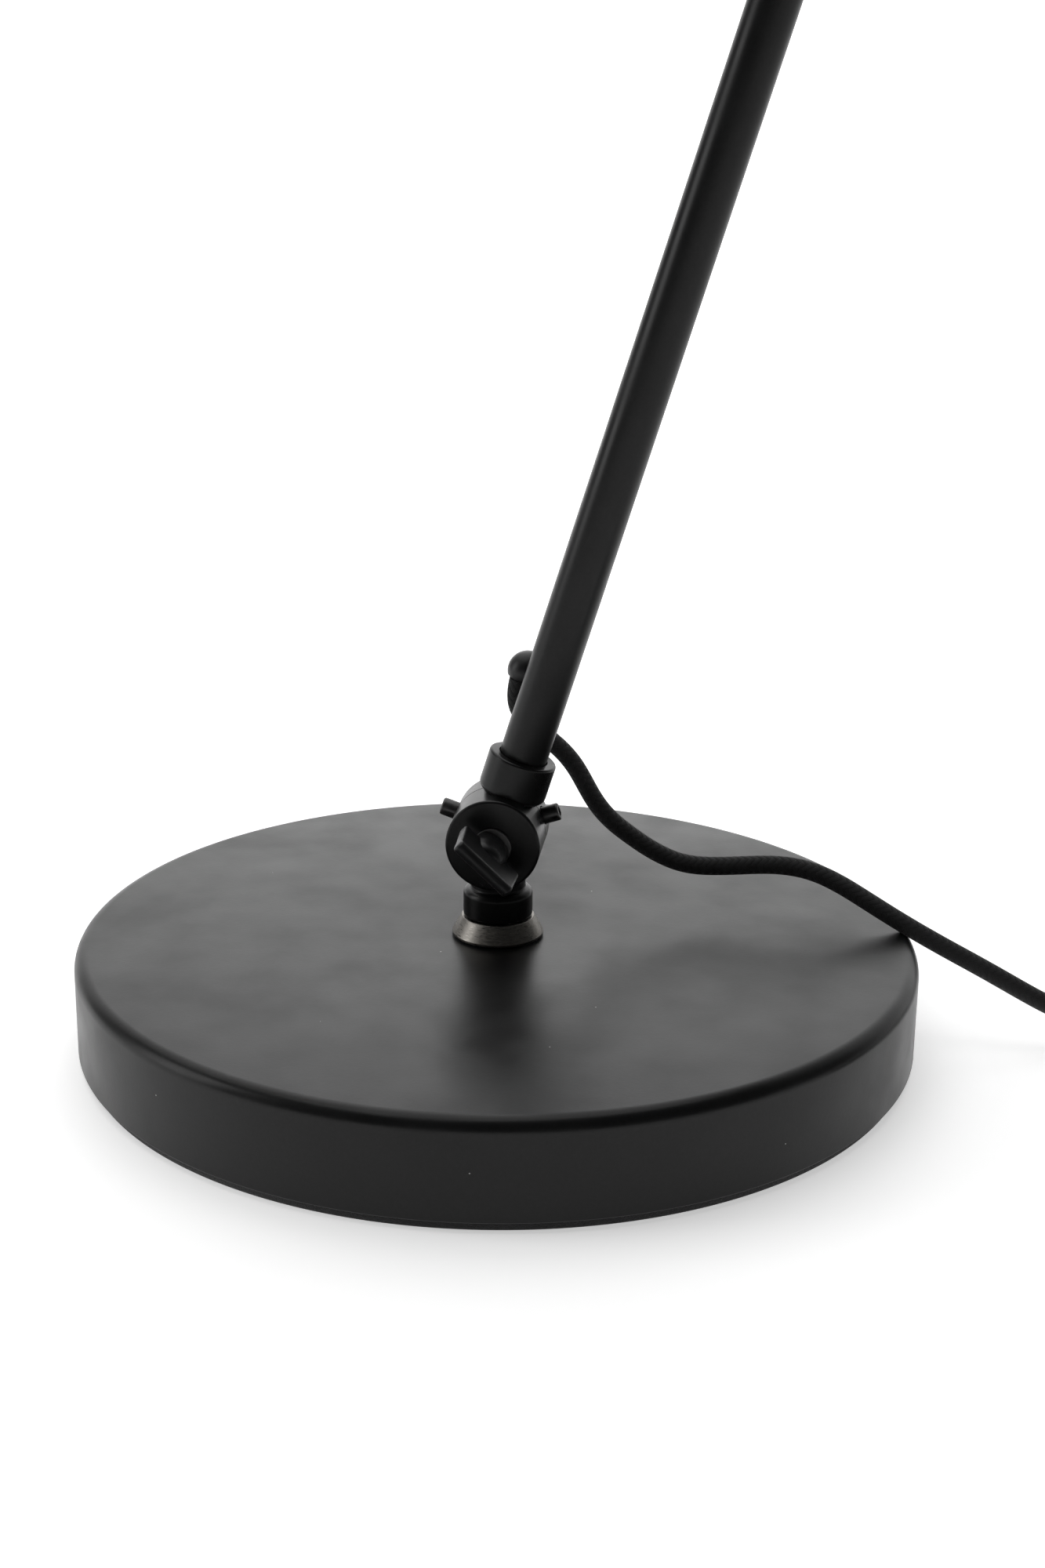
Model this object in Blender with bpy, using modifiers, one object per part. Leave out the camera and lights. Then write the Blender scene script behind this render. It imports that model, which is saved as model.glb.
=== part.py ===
"""Architect desk lamp: a weighted round base, two tubular arms on friction knuckles and a tilting shade.

Metres, +Z up. The origin is the centre of the felt's underside. Every knuckle turns about an axis along Y,
its wing knob faces -Y, and at rest the lower arm leans towards +X and the upper arm reaches towards -X.
"""

import math

import bmesh
import bpy
from mathutils import Matrix, Vector

# Clearance kept between pieces that touch.
GAP = 0.0003

# Base: a spun cover over an iron disc, on a board with felt.
BASE_RADIUS = 0.115
BASE_TOP = 0.02915
BASE_EDGE = 0.0039
COVER_WALL = 0.0015
FELT_INSET = 0.0017
FELT_RADIUS = BASE_RADIUS - FELT_INSET
FELT_THICK = 0.0024
BOARD_THICK = 0.0015
WEIGHT_THICK = 0.014
WEIGHT_RECESS_RADIUS = 0.016
WEIGHT_RECESS_DEPTH = 0.007

# Swivel seat on the base, its stem and its nut.
SEAT_GAP = 0.0005
SEAT_HEIGHT = 0.0052
SEAT_RADIUS = 0.0125
SEAT_TOP_RADIUS = 0.0099
STEM_RADIUS = 0.006
SWIVEL_BOLT_RADIUS = 0.003
SWIVEL_HEAD_RADIUS = 0.0052
SWIVEL_HEAD_THICK = 0.002
NUT_FLAT_RADIUS = 0.0095
NUT_THICK = 0.0035
WASHER_RADIUS = 0.013
WASHER_THICK = 0.001

# Knuckle: two round halves side by side on one bolt, each with a collar.
HINGE_HEIGHT = 0.05896
DISC_RADIUS = 0.01275
FRONT_THICK = 0.013
REAR_THICK = 0.010
DISC_EDGE = 0.0007
SEAM = 0.0004
PARTNER_CLEAR = 0.0005
NECK_RADIUS = 0.0078
COLLAR_RADIUS = 0.00925
COLLAR_SUNK = 0.00145
COLLAR_STANDS = 0.00985
COLLAR_NEAR = DISC_RADIUS - COLLAR_SUNK
COLLAR_FAR = DISC_RADIUS + COLLAR_STANDS
COLLAR_EDGE = 0.0018
SOCKET_DEPTH = 0.0085
BASE_COLLAR_RADIUS = 0.0095
BASE_NECK = 0.00325
BASE_COLLAR_NEAR = DISC_RADIUS + BASE_NECK
BOLT_RADIUS = 0.0025
BOLT_HEAD_RADIUS = 0.0045
BOLT_HEAD_THICK = 0.0024
STOP_RADIUS = 0.0024
STOP_KEY_FLAT_RADIUS = 0.00125
STOP_KEY_DEPTH = 0.002
STOP_PLANE = 0.0032
STOP_ELEVATION = math.radians(18.5)
STOP_INNER = 0.0060
STOP_OUTER = (0.0170, 0.0171)

# Wing knob on each knuckle.
KNOB_WASHER_RADIUS = 0.0052
KNOB_WASHER_THICK = 0.0008
KNOB_HUB_LONG = 0.0052
KNOB_HUB_SHORT = 0.0036
KNOB_HUB_HEIGHT = 0.0088
KNOB_REACH = 0.0190
WING_NEAR = 0.0045
WING_WIDTH = 0.0196
WING_TIP_WIDTH = 0.0186
WING_THICK = 0.0028
WING_BAR_RADIUS = 0.0018
KNOB_TURN = math.radians(-43.0)

# Arms: steel tubes between the knuckles, with the cord inside.
TUBE_RADIUS = 0.0065
TUBE_WALL = 0.001
LOWER_LENGTH = 0.380
UPPER_LENGTH = 0.340
LOWER_TILT = math.radians(16.85)
UPPER_TILT = math.radians(-70.0)
HEAD_TILT = math.radians(-160.0)

# Cord and the small cowls where it passes through an arm's wall.
CORD_RADIUS = 0.0026
COWL_RADIUS = 0.0054
COWL_LENGTH = 0.0078
COWL_OFFSET = 0.0116
COWL_MOUTH = 0.0418
OUTLET_MOUTH = 0.0404
OUTLET_TURN = math.radians(34.0)
OUTLET_CORD_TURN = math.radians(43.0)
CORD_INSIDE = 0.006
BRIDGE_LIFT = 0.009
BRIDGE_OUTWARD = 0.010
ELBOW_BRIDGE_REAR = 0.0190
HEAD_BRIDGE_REAR = 0.0215
CORD_STRAIGHT = 0.0035
CORD_STEP_INSIDE = 0.06
WALL_HOLE_RADIUS = 0.0031

# Shade, lampholder, bulb and switch, measured from the head hinge towards the mouth.
SHADE_TOP = COLLAR_FAR + GAP
SHADE_WALL = 0.001
SHADE_NECK_RADIUS = 0.030
SHADE_NECK_END = 0.078
SHADE_MOUTH_RADIUS = 0.080
SHADE_MOUTH = 0.150
NIPPLE_RADIUS = 0.005
NIPPLE_BORE = 0.0034
HOLDER_TOP = 0.0335
HOLDER_LENGTH = 0.044
HOLDER_RADIUS = 0.0195
HOLDER_BORE = 0.0142
HOLDER_FLOOR = 0.009
CAP_RADIUS = 0.0132
BULB_RADIUS = 0.0225
BULB_END = 0.128
FITTING_OFFSET = 0.0175
SWITCH_BARREL_RADIUS = 0.0048
SWITCH_FLANGE_RADIUS = 0.0068
BUTTON_RADIUS = 0.0033
BUTTON_TRAVEL = 0.0025
BUTTON_TOP = 0.0130
BUTTON_FLOOR = 0.0030
SWITCH_NOSE = 0.0050
SWITCH_RIM = 0.0022
SWITCH_CLEAR = 0.0015
GLAND_RADIUS = 0.0062
GLAND_NECK_RADIUS = 0.0050
GLAND_HEIGHT = 0.0060
GLAND_TAIL = 0.0040
SHADE_NUT_FLAT_RADIUS = 0.0075
SHADE_NUT_THICK = 0.0040
CONTACT_RADIUS = 0.0065
CONTACT_THICK = 0.0008
CAP_STANDS_OUT = 0.0020

# Coil of spare cord, its tie, and the plug.
COIL_CENTRE = Vector((0.204, -0.022, 0.0))
COIL_INNER = 0.0200
COIL_OUTER = 0.0360
COIL_BOTTOM = 0.0014
COIL_TOP = 0.0172
TIE_WIDTH = 0.007
TIE_THICK = 0.0008
TIE_ROOM = 0.0009
TIE_ANGLE = math.radians(-150.0)
PLUG_TIP = Vector((0.187, 0.055, 0.0072))
PLUG_LENGTH = 0.036
PLUG_WIDTH = 0.0345
PLUG_NECK_WIDTH = 0.014
PLUG_THICK = 0.0136
PIN_RADIUS = 0.002
PIN_LENGTH = 0.019
PIN_SPACING = 0.0186
SLEEVE_LENGTH = 0.022

# The free cord's route: out of the lower cowl, round behind the arm, over the base's rim and down.
LEAD_ROUTE = [
    (0.0031, 0.0093, 0.0934),
    (0.0035, 0.0108, 0.0903),
    (0.0052, 0.0126, 0.0871),
    (0.0082, 0.0146, 0.0838),
    (0.0125, 0.0168, 0.0799),
    (0.0161, 0.0185, 0.0760),
    (0.0191, 0.0197, 0.0717),
    (0.0217, 0.0206, 0.0663),
    (0.0247, 0.0214, 0.0607),
    (0.0291, 0.0225, 0.0554),
    (0.0346, 0.0237, 0.0510),
    (0.0406, 0.0243, 0.0468),
    (0.0492, 0.0249, 0.0431),
    (0.0582, 0.0255, 0.0427),
    (0.0672, 0.0259, 0.0434),
    (0.0761, 0.0257, 0.0441),
    (0.0850, 0.0246, 0.0433),
    (0.0932, 0.0226, 0.0405),
    (0.1008, 0.0203, 0.0368),
    (0.1086, 0.0181, 0.0329),
    (0.1166, 0.0164, 0.0290),
    (0.1248, 0.0152, 0.0251),
    (0.1330, 0.0141, 0.0213),
    (0.1410, 0.0130, 0.0174),
    (0.1489, 0.0121, 0.0135),
    (0.1571, 0.0116, 0.0100),
    (0.1657, 0.0116, 0.0071),
    (0.1746, 0.0118, 0.0052),
    (0.1835, 0.0120, 0.0043),
]
TAIL_ROUTE = [
    (0.2235, 0.0122, 0.0108),
    (0.2350, 0.0124, 0.0070),
    (0.2495, 0.0127, 0.0040),
    (0.2620, 0.0170, 0.0030),
    (0.2698, 0.0275, 0.0030),
    (0.2698, 0.0400, 0.0034),
    (0.2620, 0.0508, 0.0052),
]

lamp = bpy.data.collections.new("architect_desk_lamp")
cutters = bpy.data.collections.new("cutters")


def finish(name, colour, roughness, metallic=0.0):
    material = bpy.data.materials.new(name)
    material.use_nodes = True
    shader = material.node_tree.nodes["Principled BSDF"]
    shader.inputs["Base Color"].default_value = (*colour, 1.0)
    shader.inputs["Roughness"].default_value = roughness
    shader.inputs["Metallic"].default_value = metallic
    return material


def clear_scene():
    for obj in list(bpy.data.objects):
        bpy.data.objects.remove(obj)
    for collection in (lamp, cutters):
        bpy.context.scene.collection.children.link(collection)


def add(name, data, material, frame):
    """A new object of the lamp at a frame, with its material."""
    obj = bpy.data.objects.new(name, data)
    obj.matrix_world = frame
    data.materials.append(material)
    lamp.objects.link(obj)
    return obj


def as_cutter(obj):
    """Moves a helper shape out of the lamp, so that it only serves a Boolean."""
    lamp.objects.unlink(obj)
    cutters.objects.link(obj)
    obj.hide_render = True
    obj.display_type = "WIRE"
    return obj


def boolean(obj, other, operation):
    modifier = obj.modifiers.new(operation.title(), "BOOLEAN")
    modifier.operation = operation
    modifier.solver = "EXACT"
    modifier.object = as_cutter(other)


def turned(name, outline, material, frame=Matrix(), steps=24):
    """Turns an outline of (radius, height) points about the frame's Z. It runs down the outer side.
    An outline that starts off the axis is a closed loop, so it makes a ring."""
    mesh = bpy.data.meshes.new(name)
    points = [(radius, 0.0, height) for radius, height in outline]
    edges = [(i, i + 1) for i in range(len(points) - 1)]
    if outline[0][0] > 0:
        edges.append((len(points) - 1, 0))
    mesh.from_pydata(points, edges, [])
    obj = add(name, mesh, material, frame)
    screw = obj.modifiers.new("Turn", "SCREW")
    screw.steps = steps
    screw.render_steps = steps
    screw.use_merge_vertices = True
    screw.merge_threshold = 0.00001
    return obj


def rod(name, radius, low, high, material, frame=Matrix(), steps=16):
    """A plain cylinder along the frame's Z from low to high."""
    return turned(name, [(0, high), (radius, high), (radius, low), (0, low)], material, frame, steps)


def ring(name, outer, inner, low, high, material, frame=Matrix(), steps=20):
    """A washer or pipe along the frame's Z from low to high."""
    outline = [(outer, high), (outer, low), (inner, low), (inner, high)]
    return turned(name, outline, material, frame, steps)


def drill(obj, radius, low, high, frame, steps=16):
    """Cuts a round hole along the frame's Z."""
    boolean(obj, rod(obj.name + "_hole", radius, low, high, obj.data.materials[0], frame, steps), "DIFFERENCE")


def prism(name, outlines, thickness, material, frame=Matrix()):
    """A flat plate in the frame's XY plane, made of closed outlines of (x, y) points, hole outlines included."""
    curve = bpy.data.curves.new(name, "CURVE")
    curve.dimensions = "2D"
    curve.fill_mode = "BOTH"
    curve.extrude = thickness / 2
    for outline in outlines:
        spline = curve.splines.new("POLY")
        spline.points.add(len(outline) - 1)
        for point, (x, y) in zip(spline.points, outline):
            point.co = (x, y, 0.0, 1.0)
        spline.use_cyclic_u = True
    return add(name, curve, material, frame)


def hexagon(radius):
    """The corners of a hexagon whose flats lie at this distance from its centre."""
    corner = radius / math.cos(math.pi / 6)
    return [(corner * math.cos(i * math.pi / 3), corner * math.sin(i * math.pi / 3)) for i in range(6)]


def circle(radius, count=20):
    return [
        (radius * math.cos(2 * math.pi * i / count), radius * math.sin(2 * math.pi * i / count))
        for i in range(count)
    ]


def smooth_route(route, spacing):
    """Points about a spacing apart on a Catmull-Rom curve through the route's own points.
    The first and last stretch stay straight, so that an end meets its neighbour squarely."""
    knots = [Vector(p) for p in route]
    if len(knots) < 4:
        return knots
    dense = [knots[1]]
    for a, b, c, d in zip(knots, knots[1:], knots[2:], knots[3:]):
        for t in (i / 12 for i in range(1, 13)):
            line = 2 * b + (c - a) * t
            bend = (2 * a - 5 * b + 4 * c - d) * t**2 + (3 * b - a - 3 * c + d) * t**3
            dense.append((line + bend) / 2)
    total = sum((q - p).length for p, q in zip(dense, dense[1:]))
    count = max(3, round(total / spacing))
    points = [dense[0]]
    walked = 0.0
    for p, q in zip(dense, dense[1:]):
        walked += (q - p).length
        if walked >= len(points) * total / count and len(points) < count:
            points.append(q)
    return [knots[0], *points, dense[-1], knots[-1]]


def cord(name, route, material, spacing=0.011):
    """A round cord along a smooth curve through a route."""
    curve = bpy.data.curves.new(name, "CURVE")
    curve.dimensions = "3D"
    curve.bevel_depth = CORD_RADIUS
    curve.bevel_resolution = 2
    curve.use_fill_caps = True
    points = smooth_route(route, spacing)
    spline = curve.splines.new("POLY")
    spline.points.add(len(points) - 1)
    for knot, point in zip(spline.points, points):
        knot.co = (*point, 1.0)
    return add(name, curve, material, Matrix())


def hinge_frame(position, tilt):
    """A frame at a knuckle's centre whose Z points along a piece that leans by tilt towards +X."""
    return Matrix.Translation(position) @ Matrix.Rotation(tilt, 4, "Y")


FACING_FRONT = Matrix.Rotation(math.radians(90), 4, "X")
FACING_REAR = Matrix.Rotation(math.radians(-90), 4, "X")

lower_hinge = Vector((0.0, 0.0, HINGE_HEIGHT))
base_collar_frame = hinge_frame(lower_hinge, math.pi)
lower_frame = hinge_frame(lower_hinge, LOWER_TILT)
elbow_hinge = lower_frame @ Vector((0, 0, LOWER_LENGTH))
elbow_collar_frame = hinge_frame(elbow_hinge, LOWER_TILT + math.pi)
upper_frame = hinge_frame(elbow_hinge, UPPER_TILT)
head_hinge = upper_frame @ Vector((0, 0, UPPER_LENGTH))
wrist_collar_frame = hinge_frame(head_hinge, UPPER_TILT + math.pi)
head_frame = hinge_frame(head_hinge, HEAD_TILT)


def knuckle_half(name, frame, front, material, collar=(COLLAR_RADIUS, COLLAR_NEAR, COLLAR_FAR), socket=TUBE_RADIUS):
    """Half a knuckle: a thick disc on one side of the seam and a collar along the frame's Z."""
    facing, other, thick = FACING_REAR, FACING_FRONT, REAR_THICK
    if front:
        facing, other, thick = FACING_FRONT, FACING_REAR, FRONT_THICK
    radius, near, far = collar
    disc = [
        (0, thick),
        (DISC_RADIUS - DISC_EDGE, thick),
        (DISC_RADIUS, thick - DISC_EDGE),
        (DISC_RADIUS, 0),
        (0, 0),
    ]
    half = turned(name, disc, material, frame @ facing)
    edge = COLLAR_EDGE
    collar_outline = [
        (0, far),
        (radius - edge / 3, far),
        (radius, far - edge / 3),
        (radius, near + edge),
        (radius - edge * 0.3, near + edge * 0.3),
        (radius - edge, near),
        (NECK_RADIUS - 0.0003, near),
        (NECK_RADIUS - 0.0003, 0.002),
        (0, 0.002),
    ]
    boolean(half, turned(name + "_collar", collar_outline, material, frame), "UNION")
    reach = FRONT_THICK + 2 * BOLT_HEAD_THICK
    drill(half, DISC_RADIUS + PARTNER_CLEAR, -SEAM / 2, reach, frame @ other, 28)
    drill(half, BOLT_RADIUS + GAP, -reach, reach, frame @ facing)
    drill(half, socket + GAP, far - SOCKET_DEPTH, far + radius, frame)
    return half


def pivot_bolt(name, frame, material):
    """The bolt through both halves: a low round head behind the rear half and a shank into the knob."""
    head = REAR_THICK + GAP
    outline = [
        (0, head + BOLT_HEAD_THICK),
        (BOLT_HEAD_RADIUS - 0.001, head + BOLT_HEAD_THICK),
        (BOLT_HEAD_RADIUS, head + BOLT_HEAD_THICK - 0.001),
        (BOLT_HEAD_RADIUS, head),
        (BOLT_RADIUS, head),
        (BOLT_RADIUS, -FRONT_THICK - KNOB_WASHER_THICK - WING_NEAR),
        (0, -FRONT_THICK - KNOB_WASHER_THICK - WING_NEAR),
    ]
    return turned(name, outline, material, frame @ FACING_REAR, 16)


def stop_screw(name, frame, side, material):
    """A socket set screw in a rear half, radial to the hinge, that the other half's collar meets."""
    lean = math.pi / 2 - STOP_ELEVATION
    place = frame @ Matrix.Translation((0, STOP_PLANE, 0)) @ Matrix.Rotation(side * lean, 4, "Y")
    outer = STOP_OUTER[0] if side < 0 else STOP_OUTER[1]
    screw = rod(name, STOP_RADIUS, STOP_INNER, outer, material, place, 16)
    socket = place @ Matrix.Translation((0, 0, outer))
    key = prism(name + "_key", [hexagon(STOP_KEY_FLAT_RADIUS)], 2 * STOP_KEY_DEPTH, material, socket)
    boolean(screw, meshed(key), "DIFFERENCE")
    return screw


def meshed(curve_object):
    """Makes a closed mesh object of a curve, so that a Boolean can use it."""
    graph = bpy.context.evaluated_depsgraph_get()
    mesh = bpy.data.meshes.new_from_object(curve_object.evaluated_get(graph))
    welded = bmesh.new()
    welded.from_mesh(mesh)
    bmesh.ops.remove_doubles(welded, verts=welded.verts, dist=0.00001)
    welded.to_mesh(mesh)
    welded.free()
    obj = bpy.data.objects.new(curve_object.name + "_solid", mesh)
    obj.matrix_world = curve_object.matrix_world
    lamp.objects.link(obj)
    bpy.data.objects.remove(curve_object)
    return obj


def bore_for_stops(half, frame):
    """Threaded holes for both stop screws."""
    lean = math.pi / 2 - STOP_ELEVATION
    for side in (-1, 1):
        place = frame @ Matrix.Translation((0, STOP_PLANE, 0)) @ Matrix.Rotation(side * lean, 4, "Y")
        drill(half, STOP_RADIUS + GAP, STOP_INNER - GAP, DISC_RADIUS * 2, place, 16)


def wing_knob(name, frame, material):
    """A moulded knob: an oval domed hub and one flat wing with a thicker bar along its outer edge."""
    start = FRONT_THICK + KNOB_WASHER_THICK + 2 * GAP
    end = FRONT_THICK + KNOB_REACH
    wing_start = start + WING_NEAR - 0.001
    place = frame @ FACING_FRONT @ Matrix.Rotation(KNOB_TURN, 4, "Z")
    dome = [(0, 1), (0.45, 0.94), (0.8, 0.75), (0.95, 0.48), (1, 0), (0, 0)]
    hub = [(KNOB_HUB_LONG * share, start + KNOB_HUB_HEIGHT * height) for share, height in dome]
    oval = Matrix.Diagonal((1.0, KNOB_HUB_SHORT / KNOB_HUB_LONG, 1.0, 1.0))
    knob = turned(name, hub, material, place @ oval)
    half, tip = WING_WIDTH / 2, WING_TIP_WIDTH / 2
    outline = [(-half, wing_start), (half, wing_start), (tip, end - WING_BAR_RADIUS), (-tip, end - WING_BAR_RADIUS)]
    upright = place @ Matrix.Rotation(math.radians(90), 4, "X")
    boolean(knob, meshed(prism(name + "_wing", [outline], WING_THICK, material, upright)), "UNION")
    along = place @ Matrix.Translation((0, 0, end - WING_BAR_RADIUS)) @ Matrix.Rotation(math.radians(90), 4, "Y")
    boolean(knob, rod(name + "_bar", WING_BAR_RADIUS, -tip - 0.0002, tip + 0.0002, material, along, 16), "UNION")
    drill(knob, BOLT_RADIUS + GAP, 0, start + WING_NEAR + 2 * GAP, place)
    return knob


def knuckle_fittings(name, frame, steel, plastic):
    """Bolt, washer and knob of one knuckle."""
    bolt = pivot_bolt(name + "_pivot_bolt", frame, steel)
    washer = ring(
        name + "_knob_washer",
        KNOB_WASHER_RADIUS,
        BOLT_RADIUS + GAP,
        FRONT_THICK + GAP,
        FRONT_THICK + GAP + KNOB_WASHER_THICK,
        steel,
        frame @ FACING_FRONT,
        16,
    )
    knob = wing_knob(name + "_wing_knob", frame, plastic)
    return bolt, washer, knob


def cowl_place(frame, distance, towards_hinge, turn):
    """The frame of a cowl's mouth on an arm: its Z points away from the mouth, along the arm."""
    flip = Matrix() if towards_hinge else Matrix.Rotation(math.pi, 4, "Y")
    side = Matrix.Translation((-math.sin(turn) * COWL_OFFSET, math.cos(turn) * COWL_OFFSET, distance))
    return frame @ side @ flip


def cowl(name, frame, distance, towards_hinge, material, turn=0.0):
    """A small ball-shaped outlet on the arm's wall, cut flat at its mouth, which faces the nearer knuckle."""
    middle = COWL_LENGTH - COWL_RADIUS
    angles = [math.radians(degrees) for degrees in (60, 30, 0)]
    ball = [(COWL_RADIUS * math.cos(angle), middle + COWL_RADIUS * math.sin(angle)) for angle in angles]
    outline = [(0, COWL_LENGTH), *ball, (math.sqrt(COWL_RADIUS**2 - middle**2), 0), (0, 0)]
    piece = turned(name, outline, material, cowl_place(frame, distance, towards_hinge, turn), 20)
    drill(piece, TUBE_RADIUS + GAP, distance - 0.03, distance + 0.03, frame, 20)
    return piece


def arm_tube(name, frame, length, holes, material):
    """A steel tube between two sockets, with a side hole under each cowl. A hole is (distance, turn)."""
    start = COLLAR_FAR - SOCKET_DEPTH + GAP
    tube = ring(name, TUBE_RADIUS, TUBE_RADIUS - TUBE_WALL, start, length - start, material, frame, 20)
    for distance, turn in holes:
        towards = frame @ Matrix.Translation((0, 0, distance)) @ Matrix.Rotation(turn, 4, "Z") @ FACING_REAR
        drill(tube, WALL_HOLE_RADIUS, 0.002, TUBE_RADIUS * 2, towards, 16)
    return tube


def base_pieces(paint, iron, steel, bare, felt, board):
    inner = BASE_RADIUS - COVER_WALL
    under_top = BASE_TOP - COVER_WALL
    rim = FELT_THICK + GAP
    bore = STEM_RADIUS + GAP
    edge = [
        (BASE_RADIUS - BASE_EDGE * (1 - math.sin(a)), BASE_TOP - BASE_EDGE * (1 - math.cos(a)))
        for a in (i * math.pi / 8 for i in range(5))
    ]
    inner_edge = BASE_EDGE - COVER_WALL
    inside = [
        (inner - inner_edge * (1 - math.sin(a)), under_top - inner_edge * (1 - math.cos(a)))
        for a in (math.pi / 2, math.pi / 4, 0)
    ]
    cover = [(bore, BASE_TOP), *edge, (BASE_RADIUS, rim), (inner, rim), *inside, (bore, under_top)]
    pieces = [turned("base_cover", cover, paint, steps=60)]
    weight_top = under_top - GAP
    weight_low = weight_top - WEIGHT_THICK
    weight_radius = inner - inner_edge
    recess = weight_low + WEIGHT_RECESS_DEPTH
    weight = [
        (weight_radius, weight_top),
        (weight_radius, weight_low),
        (WEIGHT_RECESS_RADIUS, weight_low),
        (WEIGHT_RECESS_RADIUS, recess),
        (bore, recess),
        (bore, weight_top),
    ]
    pieces.append(turned("base_weight", weight, iron, steps=32))
    pieces.append(rod("base_board", inner - GAP, rim, rim + BOARD_THICK, board, steps=48))
    pieces.append(rod("base_felt", FELT_RADIUS, 0, FELT_THICK, felt, steps=60))
    washer_top = recess - GAP
    pieces.append(ring("base_washer", WASHER_RADIUS, bore, washer_top - WASHER_THICK, washer_top, steel))
    nut_top = washer_top - WASHER_THICK - GAP
    nut_place = Matrix.Translation((0, 0, nut_top - NUT_THICK / 2))
    pieces.append(prism("base_nut", [hexagon(NUT_FLAT_RADIUS), circle(bore)], NUT_THICK, steel, nut_place))
    seat_low = BASE_TOP + SEAT_GAP
    seat_top = seat_low + SEAT_HEIGHT
    stem_low = nut_top - NUT_THICK - 0.001
    bolt_bore = SWIVEL_BOLT_RADIUS + GAP
    seat = [
        (SEAT_TOP_RADIUS, seat_top),
        (SEAT_RADIUS, seat_low + 0.0006),
        (SEAT_RADIUS, seat_low),
        (STEM_RADIUS, seat_low),
        (STEM_RADIUS, stem_low),
        (bolt_bore, stem_low),
        (bolt_bore, seat_top),
    ]
    pieces.append(turned("swivel_seat", seat, bare, steps=28))
    return pieces, seat_top, stem_low


def swivel_bolt(seat_top, stem_low, steel):
    """The bolt that holds the lowest collar down on its seat and turns with it."""
    head_top = stem_low - GAP
    tip = seat_top + GAP + SOCKET_DEPTH - 2 * GAP
    outline = [
        (0, tip),
        (SWIVEL_BOLT_RADIUS, tip),
        (SWIVEL_BOLT_RADIUS, head_top),
        (SWIVEL_HEAD_RADIUS, head_top),
        (SWIVEL_HEAD_RADIUS, head_top - SWIVEL_HEAD_THICK),
        (0, head_top - SWIVEL_HEAD_THICK),
    ]
    return turned("swivel_bolt", outline, steel, steps=20)


def joint_empty(name, position):
    empty = bpy.data.objects.new(name, None)
    empty.location = position
    lamp.objects.link(empty)
    return empty


def hang(empty, parent, pieces):
    """Parents a joint's pieces to the empty on its axis, and the empty to the joint below, all in place."""
    bpy.context.view_layer.update()
    if parent:
        empty.parent = parent
        empty.matrix_parent_inverse = parent.matrix_world.inverted()
    for piece in pieces:
        piece.parent = empty
        piece.matrix_parent_inverse = empty.matrix_world.inverted()


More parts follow.
